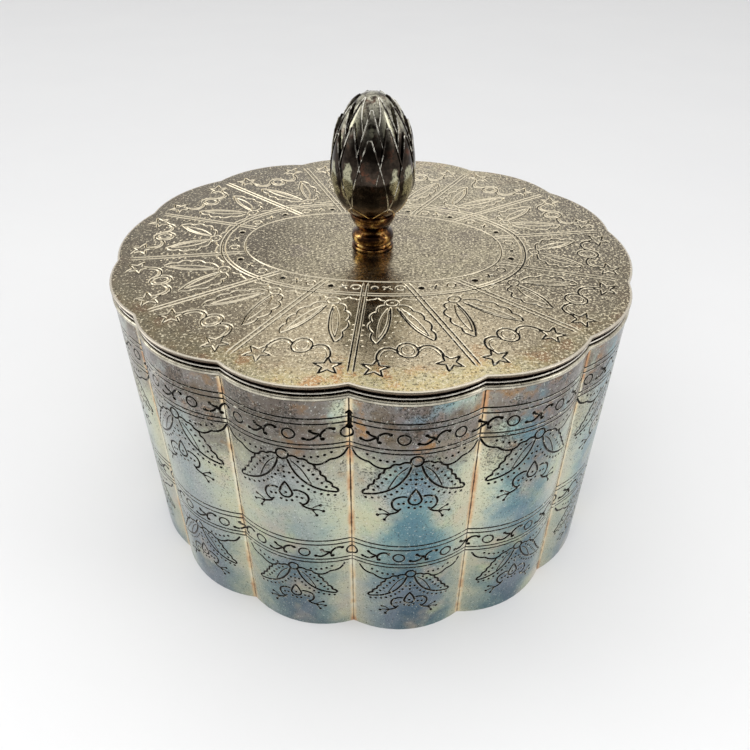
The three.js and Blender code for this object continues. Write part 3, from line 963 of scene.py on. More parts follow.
def lid_silver():
    """Silver plate dulled to warm grey, with coarse speckle, gold bloom, painted light towards the front
    and a painted highlight along the edge.
    """
    nodes = Nodes("lid_silver")
    cloud = nodes.noise(10, 4, 0.6)
    colour = nodes.ramp(
        cloud,
        (0.32, (0.25, 0.21, 0.155)),
        (0.45, (0.33, 0.285, 0.20)),
        (0.58, (0.40, 0.35, 0.235)),
        (0.70, (0.30, 0.25, 0.21)),
    )
    edge = nodes.blend(nodes.noise(5, 3), 13.0, nodes.read("edge"))
    gold = nodes.ramp(
        nodes.noise(4, 3),
        (0.38, (0.66, 0.36, 0.15)),
        (0.46, (0.76, 0.60, 0.28)),
        (0.60, (0.66, 0.60, 0.35)),
    )
    # Painted light: the front of the lid is painted lighter.
    front = nodes.span(nodes.axis("Y"), -8, -30)
    colour = nodes.mix(nodes.times(front, 0.7), colour, (0.62, 0.51, 0.34))
    bloom = nodes.times(nodes.span(edge, 8, 14, 0.8, 0.0), nodes.span(front, 0, 1, 0.25, 1.0))
    colour = nodes.mix(bloom, colour, gold)
    aside = nodes.blend(nodes.noise(14, 3), 16.0, nodes.far_from("X", 7))
    colour = nodes.mix(nodes.span(aside, 18, 42, 0.0, 0.82), colour, (0.105, 0.085, 0.06))
    pits = nodes.blend(front, -0.035, nodes.noise(0.38, 3, 0.8))
    colour = nodes.mix(nodes.span(pits, 0.49, 0.57, 0.0, 0.85), colour, (0.06, 0.045, 0.028))
    leftwards = nodes.span(nodes.axis("X"), -5, -35)
    tired = nodes.blend(leftwards, -0.035, nodes.noise(0.48, 3, 0.75))
    colour = nodes.mix(nodes.span(tired, 0.53, 0.60, 0.0, 0.85), colour, (0.90, 0.79, 0.56))
    crust = nodes.calc("ADD", nodes.cells(1.5), nodes.times(nodes.noise(0.5, 3), 0.5))
    colour = nodes.mix(nodes.span(crust, 0.34, 0.42, 0.8, 0.0), colour, (0.86, 0.78, 0.57))
    # Painted highlight along the lid's rolled edge.
    colour = nodes.mix(nodes.span(nodes.read("edge"), 0.12, 0.34, 0.85, 0.0), colour, (0.66, 0.60, 0.50))
    side = nodes.span(nodes.axis("Z"), LID_TOP - 0.3, LID_TOP - 0.1, 0.95, 0.0)
    shadow = nodes.mix(nodes.noise(2, 4), (0.035, 0.022, 0.015), (0.15, 0.095, 0.06))
    colour = nodes.mix(side, colour, shadow)
    return finish_metal(nodes, colour, (0.18, 0.38), 0.02, 0.03)


def groove_metal(name, flank, glint_share, full_depth, bright_share):
    """A cut line: a painted highlight on its flanks, black oxide at its root, and painted glints in flecks.

    bright_share makes the share of the full depth, in millimetres, that keeps the painted highlight.
    """
    nodes = Nodes(name)
    sunk = nodes.calc("DIVIDE", nodes.read("depth"), full_depth, clamp=True)
    ragged = nodes.blend(nodes.calc("SUBTRACT", nodes.noise(0.5, 3, 0.7), 0.5), 0.8, sunk)
    above = nodes.calc("SUBTRACT", ragged, bright_share(nodes))
    # Painted highlight on the flanks, above the black oxide of the root.
    colour = nodes.mix(nodes.span(above, 0.0, 0.3), flank, (0.010, 0.008, 0.006))
    # Painted glints scattered along the lines.
    glint = nodes.span(nodes.noise(0.9, 4, 0.75), 0.58, 0.68, 0.0, glint_share)
    colour = nodes.mix(glint, colour, (0.88, 0.84, 0.70))
    nodes.set(Base_Color=colour, Metallic=1.0, Roughness=0.3)
    nodes.bump((nodes.noise(0.3, 3, 0.6), 0.5, 0.02))
    return nodes.material


def body_groove():
    """Black lines with a thin painted highlight on their flanks."""
    full_depth = LINE * GROOVE_SLOPE
    return groove_metal("body_groove", (0.50, 0.49, 0.42), 0.7, full_depth, lambda nodes: 0.02)


def lid_groove():
    """Lines with a painted highlight at the back and left of the lid, turning to painted shade towards the
    front right.
    """

    def bright_share(nodes):
        # Painted light: lines lit towards the back and left, shaded towards the front right.
        ahead = nodes.blend(nodes.axis("Y"), -0.8, nodes.times(nodes.axis("X"), 0.9))
        ahead = nodes.blend(nodes.noise(9, 3), 30.0, ahead)
        return nodes.span(ahead, 28, 50, 0.48, 0.24)

    full_depth = LINE * 1.5 * GROOVE_SLOPE
    return groove_metal("lid_groove", (0.80, 0.71, 0.53), 0.5, full_depth, bright_share)


def band_metal():
    """The band under the lid: nearly black, with a painted highlight along its lip."""
    nodes = Nodes("band_metal")
    height = nodes.axis("Z")
    # Painted highlight along the lip.
    above = nodes.span(height, LIP_BOTTOM, LIP_BOTTOM + 0.06)
    lip = nodes.times(above, nodes.span(height, LIP_TOP, LIP_TOP - 0.06))
    wear_and_highlight = nodes.times(lip, nodes.span(nodes.noise(1.2, 4, 0.7), 0.3, 0.5, 0.4, 1.0))
    dark = nodes.mix(nodes.noise(3, 4), (0.03, 0.02, 0.015), (0.13, 0.08, 0.05))
    return finish_metal(nodes, nodes.mix(wear_and_highlight, dark, (0.72, 0.68, 0.60)), (0.22, 0.4), 0.006)


def plain_silver(name, dark, light, roughness):
    """Silver plate on the small parts, dull in the hollows and bright on worn places."""
    nodes = Nodes(name)
    colour = nodes.mix(nodes.span(nodes.noise(2.5, 5, 0.65), 0.35, 0.65), dark, light)
    speck = nodes.span(nodes.noise(0.4, 3, 0.7), 0.58, 0.7, 0.0, 0.7)
    colour = nodes.mix(speck, colour, tuple(channel * 0.3 for channel in dark))
    return finish_metal(nodes, colour, roughness, 0.01)


def bud_silver():
    """Black silver with painted highlights on the crowns of some leaves, painted reflections on its sides
    and round the tip, gilt at the foot.
    """
    nodes = Nodes("bud_silver")
    dark = nodes.ramp(
        nodes.noise(2.2, 4, 0.6),
        (0.40, (0.020, 0.015, 0.012)),
        (0.55, (0.055, 0.042, 0.032)),
        (0.68, (0.12, 0.055, 0.035)),
    )
    height = nodes.calc("SUBTRACT", nodes.axis("Z"), LID_TOP)
    # Painted highlights on leaf crowns, and painted reflections on the sides and upper part.
    crown = nodes.times(nodes.read("crown"), 1.3)
    patchy = nodes.blend(nodes.noise(2.5, 4, 0.65), 1.2, crown)
    aside = nodes.span(nodes.far_from("X", 0.6), 1.6, 4.6, 0.0, 0.7)
    painted_side_and_top_reflection = nodes.calc("MAXIMUM", aside, nodes.span(height, 20, 26, 0.0, 1.1))
    wear_and_highlight = nodes.calc("ADD", patchy, painted_side_and_top_reflection)
    bright = nodes.mix(nodes.noise(0.6, 3, 0.7), (0.30, 0.29, 0.18), (0.60, 0.58, 0.42))
    colour = nodes.mix(nodes.span(wear_and_highlight, 2.08, 2.28), dark, bright)
    cloudy = nodes.span(nodes.noise(1.6, 4), 0.35, 0.55)
    # Painted reflection round the tip.
    tip = nodes.times(nodes.span(height, 21, 27, 0.0, 0.8), cloudy)
    colour = nodes.mix(tip, colour, (0.50, 0.48, 0.38))
    gold = nodes.times(nodes.span(height, 11.5, 8), 0.7)
    colour = nodes.mix(gold, colour, (0.20, 0.10, 0.03))
    speck = nodes.span(nodes.noise(0.35, 3, 0.75), 0.54, 0.62, 0.0, 0.85)
    colour = nodes.mix(speck, colour, (0.03, 0.025, 0.02))
    return finish_metal(nodes, colour, (0.06, 0.18), 0.012)


def edge_silver():
    """The raised edges of the leaves, worn bright in places that also serve as a painted highlight, and
    gilt low down.
    """
    nodes = Nodes("edge_silver")
    # Worn bright in places, which is also a painted highlight.
    wear_and_highlight = nodes.span(nodes.noise(2.4, 4, 0.65), 0.45, 0.58)
    colour = nodes.mix(wear_and_highlight, (0.06, 0.05, 0.04), (0.74, 0.71, 0.62))
    height = nodes.calc("SUBTRACT", nodes.axis("Z"), LID_TOP)
    colour = nodes.mix(nodes.span(height, 11, 8.5), colour, (0.66, 0.44, 0.16))
    return finish_metal(nodes, colour, (0.12, 0.3), 0.004)


def pedestal_gilt():
    """Worn gilding over nearly black metal."""
    nodes = Nodes("pedestal_gilt")
    colour = nodes.ramp(
        nodes.noise(2.2, 4, 0.6),
        (0.38, (0.022, 0.010, 0.006)),
        (0.48, (0.085, 0.036, 0.014)),
        (0.55, (0.32, 0.16, 0.05)),
        (0.64, (0.70, 0.50, 0.18)),
    )
    return finish_metal(nodes, colour, (0.05, 0.14), 0.008)


def brass():
    nodes = Nodes("brass")
    colour = nodes.mix(nodes.span(nodes.noise(1.5, 5), 0.35, 0.65), (0.38, 0.24, 0.09), (0.66, 0.47, 0.2))
    return finish_metal(nodes, colour, (0.2, 0.4), 0.006)


def velvet():
    """Short navy pile, brushed this way and that."""
    nodes = Nodes("velvet")
    brushed = nodes.span(nodes.noise(9, 3, 0.5, distortion=1.0), 0.35, 0.65)
    colour = nodes.mix(brushed, (0.018, 0.026, 0.085), (0.045, 0.062, 0.17))
    tuft = nodes.noise(0.16, 2, 0.6)
    colour = nodes.mix(nodes.span(tuft, 0.35, 0.7, 0.0, 0.6), colour, (0.10, 0.13, 0.30))
    nodes.set(Base_Color=colour, Roughness=0.95)
    nodes.set(Sheen_Weight=0.8, Sheen_Roughness=0.35, Sheen_Tint=(0.5, 0.6, 1.0))
    nodes.bump((nodes.noise(6, 3), 0.5, 0.3), (tuft, 0.9, 0.12))
    return nodes.material


BODY_SILVER = body_silver()
LID_SILVER = lid_silver()
BODY_GROOVE = body_groove()
LID_GROOVE = lid_groove()
BAND_METAL = band_metal()
RIM_SILVER = plain_silver("rim_silver", (0.36, 0.33, 0.26), (0.66, 0.62, 0.50), (0.2, 0.36))
DULL_SILVER = plain_silver("dull_silver", (0.22, 0.20, 0.16), (0.44, 0.41, 0.33), (0.28, 0.5))
BUD_SILVER = bud_silver()
EDGE_SILVER = edge_silver()
GILT = pedestal_gilt()
BRASS = brass()
VELVET = velvet()

# ---- engraved wall


def wall_sheet():
    """The unrolled wall: its points, its crease and row edges, and its border."""
    columns = [0.0]
    for k, lobe in enumerate(OUTLINE):
        columns.extend(LOBE_STARTS[k] + lobe.length * (np.arange(LOBE_STEPS) + 1) / LOBE_STEPS)
    rows = np.linspace(0, RIM_BOTTOM, 21)
    points = [(u, z) for u in columns for z in rows]
    count = len(rows)
    edges = []
    for i in range(0, len(columns), LOBE_STEPS):
        edges.extend((i * count + j, i * count + j + 1) for j in range(count - 1))
    last = (len(columns) - 1) * count
    border = (0, last, last + count - 1, count - 1)
    return points, edges, border


def lobe_at(u):
    """Number of the lobe at each length along the outline."""
    return np.clip(np.searchsorted(LOBE_STARTS, u, side="right") - 1, 0, LOBES - 1)


def on_lobe(k, u):
    """Angle from a lobe's middle at a length u along the outline."""
    lobe = OUTLINE[k]
    return (u - LOBE_STARTS[k]) / lobe.radius - lobe.half_angle


def wrap_wall(uz, depths):
    """Places the unrolled wall's points on the lobes, sunk by their depths."""
    owner = lobe_at(uz[:, 0])
    xyz = np.zeros((len(uz), 3))
    xyz[:, 2] = uz[:, 1]
    for k, lobe in enumerate(OUTLINE):
        mine = owner == k
        normal = lobe.normal(on_lobe(k, uz[mine, 0]))
        xyz[mine, :2] = lobe.centre + normal * (lobe.radius - depths[mine])[:, None]
    for k in range(LOBES + 1):
        mine = np.abs(uz[:, 0] - LOBE_STARTS[k]) < 1e-3
        xyz[mine, :2] = OUTLINE[k % LOBES].start - depths[mine][:, None] * crease_direction((k - 1) % LOBES)
    return xyz


def face_normals(xyz, triangles):
    a, b, c = (xyz[triangles[:, i]] for i in range(3))
    normals = np.cross(b - a, c - a)
    return normals / np.maximum(np.linalg.norm(normals, axis=1), 1e-12)[:, None]


def wall_normals(uz, triangles, flat_normals, grooves):
    """A normal for each corner: true to the lobe on the surface, and flat in the grooves."""
    owner = lobe_at(uz[triangles][:, :, 0].mean(axis=1))
    normals = np.repeat(flat_normals[:, None, :], 3, axis=1)
    for k, lobe in enumerate(OUTLINE):
        mine = (owner == k) & ~grooves
        corners = uz[triangles[mine]][:, :, 0]
        normals[mine, :, :2] = lobe.normal(on_lobe(k, corners))
        normals[mine, :, 2] = 0
    return normals


def finish_engraved(name, skin, rest, depths, corner_normals, grooves, materials, body, node):
    """Joins an engraved skin to the plain rest of its piece, and sets its normals and materials."""
    vertices, faces = join(skin, rest)
    vertices, faces, places, first = weld(vertices, faces)
    obj = make_object(name, vertices, faces, materials, body, [node])
    depths = np.concatenate([depths, np.zeros(len(rest[0]))])
    add_attribute(obj, "depth", depths[first])
    in_skin = np.array([place < len(skin[1]) for place in places])
    index = np.zeros(len(faces), int)
    index[in_skin] = grooves[np.array(places)[in_skin]]
    obj.data.polygons.foreach_set("material_index", index)
    normals = []
    for place, face in zip(places, faces):
        inside = place < len(skin[1]) and len(face) == 3
        normals.extend(corner_normals[place] if inside else [(0, 0, 0)] * len(face))
    obj.data.normals_split_custom_set([tuple(normal) for normal in normals])
    return obj, vertices


def crease_distance(xy):
    """Distance of points from the nearest crease, in plan."""
    creases = np.array([lobe.start for lobe in OUTLINE])
    return np.linalg.norm(xy[:, None, :] - creases[None], axis=2).min(axis=1)


def build_wall():
    points, edges, border = wall_sheet()
    uz, depths, triangles, grooves = wall_engraving().cut(points, edges, border)
    xyz = wrap_wall(uz, depths)
    flat_normals = face_normals(xyz, triangles)
    corner_normals = wall_normals(uz, triangles, flat_normals, grooves)
    inner = -WALL_THICKNESS
    rest = sweep([(0, RIM_BOTTOM), (inner, RIM_BOTTOM), (inner, 0), (0, 0)], closed=False)
    skin = (xyz, [tuple(t) for t in triangles])
    obj, vertices = finish_engraved(
        "engraved_wall", skin, rest, depths, corner_normals, grooves,
        [BODY_SILVER, BODY_GROOVE], "box", "body_wall",
    )
    add_attribute(obj, "crease", crease_distance(vertices[:, :2]))


# ---- engraved lid


def lid_sheet(inset):
    """The flat top of the lid: its points, its border, and the hole for the stud."""
    border = list(outline(-inset))
    kept = [point for i, point in enumerate(border) if np.linalg.norm(point - border[i - 1]) > 1e-4]
    count = len(kept)
    hole = front_circle(BORE_RADIUS, BORE_SIDES)
    grid = [
        (x, y)
        for x in np.arange(-45, 46, LID_GRID)
        for y in np.arange(-42, 43, LID_GRID)
        if (x / 46) ** 2 + (y / 42) ** 2 < 1 and math.hypot(x, y) > LID_GRID
    ]
    points = kept + list(hole) + grid
    return points, tuple(range(count)), tuple(range(count, count + len(hole)))


def build_lid():
    inset = EDGE_ROLL - 0.2
    points, border, hole = lid_sheet(inset)
    xy, depths, triangles, grooves = lid_engraving().cut(points, [], border, hole)
    xyz = np.column_stack([xy, LID_TOP - depths])
    corner_normals = np.repeat(face_normals(xyz, triangles)[:, None, :], 3, axis=1)
    corner_normals[~grooves] = (0, 0, 1)
    middle = (LID_TOP + LID_UNDERSIDE) / 2
    radius = LID_TOP - middle
    roll = arc((-inset, middle), radius, 90, -90, 10)
    roll[:, 0] = -inset + (roll[:, 0] + inset) * EDGE_ROLL / radius
    rings = [level_ring(outline(growth), height) for growth, height in roll]
    rings.append(level_ring(front_circle(BORE_RADIUS, len(rings[0])), LID_UNDERSIDE))
    edge = loft(rings[::-1])
    inwards = arc((0, 0), BORE_RADIUS, 270, -90, BORE_SIDES)[:-1]
    bore = loft([level_ring(inwards, height) for height in (LID_UNDERSIDE, LID_TOP)])
    skin = (xyz, [tuple(t) for t in triangles])
    obj, vertices = finish_engraved(
        "engraved_lid", skin, join(edge, bore), depths, corner_normals, grooves,
        [LID_SILVER, LID_GROOVE], "lid", "lid_plate",
    )
    rim = outline(0)
    nearest = np.array([np.linalg.norm(rim - vertex[:2], axis=1).min() for vertex in vertices])
    add_attribute(obj, "edge", nearest)


# ---- plain sheet parts


def build_rims():
    """The wire round the mouth, and the band under the lid."""
    section = rounded_bar(WIRE_OUTSIDE, WIRE_INSIDE, RIM_BOTTOM, RIM_TOP, WIRE_ROUNDING)
    wire = sweep(section, RIM_STEPS)
    add_piece("mouth_wire", wire, RIM_SILVER, "box", ["mouth_rim"])
    lip = arc((LIP_MIDDLE, (LIP_BOTTOM + LIP_TOP) / 2), (LIP_TOP - LIP_BOTTOM) / 2, -90, 90, 6)
    section = np.concatenate([
        [(BAND_INSIDE, BAND_BOTTOM), (FLANGE_OUTSIDE - FLANGE_CHAMFER[0], BAND_BOTTOM)],
        [(FLANGE_OUTSIDE, BAND_BOTTOM + FLANGE_CHAMFER[1]), (FLANGE_OUTSIDE, LIP_BOTTOM)],
        lip,
        [(NECK_OUTSIDE, LIP_TOP), (NECK_OUTSIDE, BAND_TOP), (BAND_INSIDE, BAND_TOP)],
    ])
    band = sweep(section, RIM_STEPS)
    add_piece("lid_band", band, BAND_METAL, "lid", ["lid_rim"])


def build_base():
    """The base plate, let into the foot of the wall a little above its edge."""
    edge = -WALL_THICKNESS - BASE_GAP
    foot = edge - BASE_FOOT_WIDTH
    section = [
        (foot - BASE_STEP[0], BASE_BOTTOM + BASE_STEP[1]), (foot, BASE_BOTTOM),
        (edge, BASE_BOTTOM), (edge, BASE_TOP),
    ]
    rings = [level_ring(outline(growth, 8), height) for growth, height in section]
    vertices, faces = loft(rings)
    count = len(rings[0])
    faces.append(tuple(range(count - 1, -1, -1)))
    faces.append(tuple(range(3 * count, 4 * count)))
    add_piece("base_sheet", (vertices, faces), DULL_SILVER, "box", ["base_plate"])


# ---- finial


def bud_radius(height):
    """Radius of the bare bud: a full, blunt upper part over a short half ellipse."""
    top = levels("finial_bud")[1] - LID_TOP
    upper = height > BUD_WIDEST
    half = np.where(upper, top - BUD_SKIN - BUD_WIDEST, BUD_LOWER_HALF)
    power = np.where(upper, BUD_TOP_POWER, 2.0)
    share = np.minimum(1, np.abs(height - BUD_WIDEST) / half)
    return BUD_CORE_RADIUS * (1 - share**power) ** (1 / power)


# Rows of leaves: height of the foot and of the tip, half width in degrees, stand-off, shift
LEAF_ROWS = (
    (19.0, 29.2, 30, 0.12, 0.5),
    (15.0, 27.8, 32, 0.34, 0.03),
    (7.4, 25.4, 34, 0.66, 0.5),
    (7.4, 23.6, 34, 0.72, 0.0),
    (7.3, 10.2, 29, 0.66, 0.5),
)
LEAF_LENGTH_STEPS = 30
LEAF_WIDTH_STEPS = 16
LEAF_CROWN = 0.26
BUD_SKIN = 0.3
BEAD_RADIUS = 0.13
BEAD_LIFT = 0.12
BEAD_SIDES = 8
BEAD_STEPS = 34
BEAD_END = 0.96
BUD_SEGMENTS = 72


def leaf_width(share, half_width):
    """Half width of a leaf in radians, at a share of its length."""
    return math.radians(half_width) * np.maximum(1 - share, 0) ** 0.8


def leaf_stand(share, stand):
    """How far a leaf stands off the bare bud; it closes down at the bud's foot and tip."""
    return stand * (0.45 + 0.55 * np.sin(np.clip(share * 1.3 + 0.25, 0, 1) * math.pi / 2))


def on_bud(angle, height, relief):
    radius = bud_radius(height) + relief
    return np.stack([radius * np.cos(angle), radius * np.sin(angle), LID_TOP + height], axis=-1)


def leaf(row, number):
    """One pointed leaf laid on the bud: vertices and faces of a closed shell, and where its crown gets a
    painted highlight.
    """
    foot, tip, half_width, stand, shift = row
    share = np.linspace(0, 1, LEAF_LENGTH_STEPS + 1)[:, None]
    side = np.sin(np.linspace(-1, 1, LEAF_WIDTH_STEPS + 1) * math.pi / 2)[None, :]
    angle = leaf_middle(number, shift) + leaf_width(share, half_width) * side
    height = foot + (tip - foot) * share + 0 * side
    crown = (1 - side**2) * (1 - share**3)
    outer = on_bud(angle, height, leaf_stand(share, stand) + LEAF_CROWN * crown)
    inner = on_bud(angle, height, -BUD_SKIN)
    inner[..., :2] = np.where(bud_radius(height)[..., None] > 0.4, inner[..., :2], outer[..., :2] * 0.5)
    vertices, faces = loft(np.concatenate([outer, inner[:, ::-1]], axis=1))
    columns = LEAF_WIDTH_STEPS + 1
    faces.extend((i + 1, i, 2 * columns - 1 - i, 2 * columns - 2 - i) for i in range(columns - 1))
    reach = crown * np.sin(share * math.pi)
    return vertices, faces, np.concatenate([reach, 0 * reach], axis=1).ravel()


def leaf_middle(number, shift):
    """Angle of a leaf's middle, counted from the front."""
    return (number + shift) * 2 * math.pi / LEAVES_PER_ROW - math.pi / 2


def tube(path, radius, sides):
    """A round bar along a path, with closed ends."""
    path = np.asarray(path, float)
    ahead = np.gradient(path, axis=0)
    ahead /= np.linalg.norm(ahead, axis=1)[:, None]
    away = path * (1, 1, 0)
    away /= np.maximum(np.linalg.norm(away, axis=1), 1e-9)[:, None]
    away -= (away * ahead).sum(1)[:, None] * ahead
    away /= np.maximum(np.linalg.norm(away, axis=1), 1e-9)[:, None]
    aside = np.cross(ahead, away)
    angles = np.linspace(0, 2 * math.pi, sides, endpoint=False)
    rings = [np.repeat(path[:1], sides, axis=0)]
    for middle, out, across in zip(path, away, aside):
        rings.append(middle + radius * (np.outer(np.cos(angles), out) + np.outer(np.sin(angles), across)))
    rings.append(np.repeat(path[-1:], sides, axis=0))
    return loft(rings)


def leaf_edges(row, number):
    """The raised bead round a leaf, from its foot over its tip and down again."""
    foot, tip, half_width, stand, shift = row
    rise = np.linspace(0, BEAD_END, BEAD_STEPS)
    share = np.concatenate([rise, rise[::-1]])
    side = np.repeat((-1, 1), BEAD_STEPS)
    angle = leaf_middle(number, shift) + leaf_width(share, half_width) * side
    path = on_bud(angle, foot + (tip - foot) * share, leaf_stand(share, stand) + BEAD_LIFT)
    return tube(path, BEAD_RADIUS, BEAD_SIDES)


def build_bud():
    """The bud: a core, rows of overlapping pointed leaves on it, and a bead round each leaf."""
    bottom, top = (level - LID_TOP for level in levels("finial_bud"))
    foot = math.asin((bottom - BUD_WIDEST) / BUD_LOWER_HALF)
    turns = np.linspace(foot, math.pi / 2, 60)
    halves = np.where(turns > 0, top - BUD_SKIN - BUD_WIDEST, BUD_LOWER_HALF)
    heights = BUD_WIDEST + halves * np.sin(turns)
    core = [(0, LID_TOP + bottom)] + [(float(bud_radius(h)), LID_TOP + h) for h in heights[:-1]]
    core.append((0, LID_TOP + top - BUD_SKIN))
    core_shape = lathe(core, BUD_SEGMENTS)
    leaves = [(row, number) for row in LEAF_ROWS for number in range(LEAVES_PER_ROW)]
    shells = [leaf(row, number) for row, number in leaves]
    # Where each leaf's crown gets a painted highlight.
    wear_and_highlight = np.concatenate([np.zeros(len(core_shape[0]))] + [shell[2] for shell in shells])
    shape = join(core_shape, *(shell[:2] for shell in shells))
    bud, first = add_piece("leaf_bud", shape, BUD_SILVER, "lid", ["finial_bud"], 45)
    add_attribute(bud, "crown", wear_and_highlight[first])
    beads = join(*(leaf_edges(row, number) for row, number in leaves))
    add_piece("leaf_edges", beads, EDGE_SILVER, "lid", [], 60)


STUD_RADIUS = 1.25
STUD_SIDES = 40
THREAD_LENGTH = 4.2
THREAD_PITCH = 0.5
THREAD_DEPTH = 0.22
NUT_APOTHEM = 3.2 * math.cos(math.pi / 6)
NUT_CHAMFER_RADIUS = 2.85
PEDESTAL_FOOT, PEDESTAL_TOP = 0.05, 7.45

# Outside of the pedestal, as (radius, height above the lid)
PEDESTAL_PROFILE = (
    (3.95, PEDESTAL_FOOT), (4.1, 0.25), (4.0, 0.55), (3.55, 0.7), (3.6, 0.85), (3.85, 1.0), (3.75, 1.2),
    (3.7, 1.3), (4.05, 1.8), (4.1, 2.5), (3.9, 3.1), (3.4, 3.5), (3.15, 3.7), (3.1, 3.9),
    (3.2, 4.25), (3.6, 4.9), (4.05, 5.7), (4.35, 6.5), (4.3, 7.1), (3.6, PEDESTAL_TOP),
)


def build_pedestal():
    """The turned pedestal under the bud."""
    outside = smooth(PEDESTAL_PROFILE, 0.12)
    foot, top = (BORE_RADIUS, PEDESTAL_FOOT), (BORE_RADIUS, PEDESTAL_TOP)
    profile = np.concatenate([[foot], outside, [top, foot]])
    profile[:, 1] += LID_TOP
    add_piece("turned_pedestal", lathe(profile), GILT, "lid", ["finial_pedestal"], 50)


def build_stud():
    """The stud under the bud, threaded at its lower end and closed at both."""
    bottom, top = levels("finial_stud")
    thread_top = bottom + THREAD_LENGTH
    heights = np.concatenate([np.arange(bottom, thread_top, THREAD_PITCH / 8), [top - 0.2, top]])
    round_the_stud = circle(STUD_SIDES)
    shares = np.arange(STUD_SIDES) / STUD_SIDES
    rings = [level_ring(round_the_stud * 0, bottom)]
    for height in heights:
        turn = (height - bottom) / THREAD_PITCH - shares
        cut = np.abs(turn - np.round(turn)) * 2 * THREAD_DEPTH * (height < thread_top - THREAD_PITCH)
        taper = 0.2 * (1 - min(1.0, (height - bottom) / 0.3))
        rings.append(level_ring(round_the_stud * (STUD_RADIUS - taper - cut)[:, None], height))
    rings.append(level_ring(round_the_stud * 0, top))
    add_piece("threaded_stud", loft(rings), BRASS, "lid", ["finial_stud"], 30)


def build_washer():
    low, high = levels("finial_washer")
    section = rounded_bar(4.5, BORE_RADIUS, low, high, 0.15)
    add_piece("washer", lathe_closed(section, 72), BRASS, "lid", ["finial_washer"])


def build_nut():
    """The hexagonal nut, with its corners chamfered and its bore countersunk."""
    low, high = levels("finial_nut")
    angles = np.linspace(0, 2 * math.pi, 72, endpoint=False)
    hexagon = NUT_APOTHEM / np.cos(angles % (math.pi / 3) - math.pi / 6)
    chamfered = np.minimum(hexagon, NUT_CHAMFER_RADIUS)
    drop = (hexagon - chamfered) * math.tan(math.radians(30))
    countersink = BORE_RADIUS - 0.15
    section = (
        (countersink, low + 0.15), (BORE_RADIUS, low), (chamfered, low), (hexagon, low + drop),
        (hexagon, high - drop), (chamfered, high), (BORE_RADIUS, high), (countersink, high - 0.15),
        (countersink, low + 0.15),
    )
    ones = np.ones(72)
    rings = [level_ring(unit(angles) * (reach * ones)[:, None], height) for reach, height in section]
    add_piece("hexagon_nut", loft(rings), BRASS, "lid", ["finial_nut"], 25)


# ---- hinge

KNUCKLE_RADIUS = 1.4
KNUCKLE_BORE = 0.9
PIN_RADIUS = 0.62
PIN_HEAD = (1.05, 0.45)


def along_x(vertices):
    """Turns a shape made about Z so that it lies along X on the hinge axis."""
    x, y, z = vertices.T
    return np.column_stack([z, x + HINGE[1] / MM, -y + HINGE[2] / MM])


def reversed_faces(faces):
    return [face[::-1] for face in faces]


def build_hinge():
    """Knuckles with rounded ends, a headed pin, and softened edges on the two bearers."""
    for number in range(1, 6):
        node = f"hinge_knuckle_{number}"
        low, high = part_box(node)
        section = rounded_bar(KNUCKLE_RADIUS, KNUCKLE_BORE, low.x / MM, high.x / MM, 0.14)
        vertices, faces = lathe_closed(section, 64)
        shape = along_x(vertices), reversed_faces(faces)
        body, slot = ("box", "body_silver") if number % 2 else ("lid", "lid_silver")
        add_piece(f"knuckle_{number}", shape, DULL_SILVER, body, [node])
    low, high = (side.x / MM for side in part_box("hinge_pin"))
    head = arc((0, 0), 1, 0, 90, 6) * PIN_HEAD
    left, right = head[::-1] * (1, -1) + (0, low), head + (0, high)
    vertices, faces = lathe(np.concatenate([left, [(PIN_RADIUS, low), (PIN_RADIUS, high)], right]), 48)
    shape = along_x(vertices), reversed_faces(faces)
    add_piece("headed_pin", shape, BRASS, "box", ["hinge_pin"])
    for node in ("hinge_body_bearer", "hinge_lid_bearer"):
        obj = frame["nodes"][node]
        obj.data.materials.clear()
        obj.data.materials.append(DULL_SILVER)
        bevel = obj.modifiers.new("softened", "BEVEL")
        bevel.width = 0.12 * MM
        bevel.segments = 3
        bevel.limit_method = "ANGLE"
        bevel.angle_limit = math.radians(35)


# ---- velvet

SIMULATION_SCALE = 20
SIMULATION_FRAMES = 20
PAD_VOXEL = 0.9
PAD_SWELL = 0.7
PAD_HELD = 0.3
PAD_ROLL = 0.9
PAD_STEPS = 8
FLOOR_PAD_GROWTH = -3.1
LID_PAD_GROWTH = -3.0
LID_PAD_HOLE = 7.0
LINING_BACK, LINING_FACE = -1.5, -2.5
LINING_WAVE = 0.06
LINING_RIPPLE = 0.09


def remesh(obj, voxel):
    modifier = obj.modifiers.new("remesh", "REMESH")
    modifier.mode = "VOXEL"
    modifier.voxel_size = voxel
    bake(obj)


def evaluated(obj):
    return obj.evaluated_get(bpy.context.evaluated_depsgraph_get())


def bake(obj):
    """Applies an object's modifiers to its mesh."""
    mesh = bpy.data.meshes.new_from_object(evaluated(obj))
    obj.modifiers.clear()
    obj.data = mesh


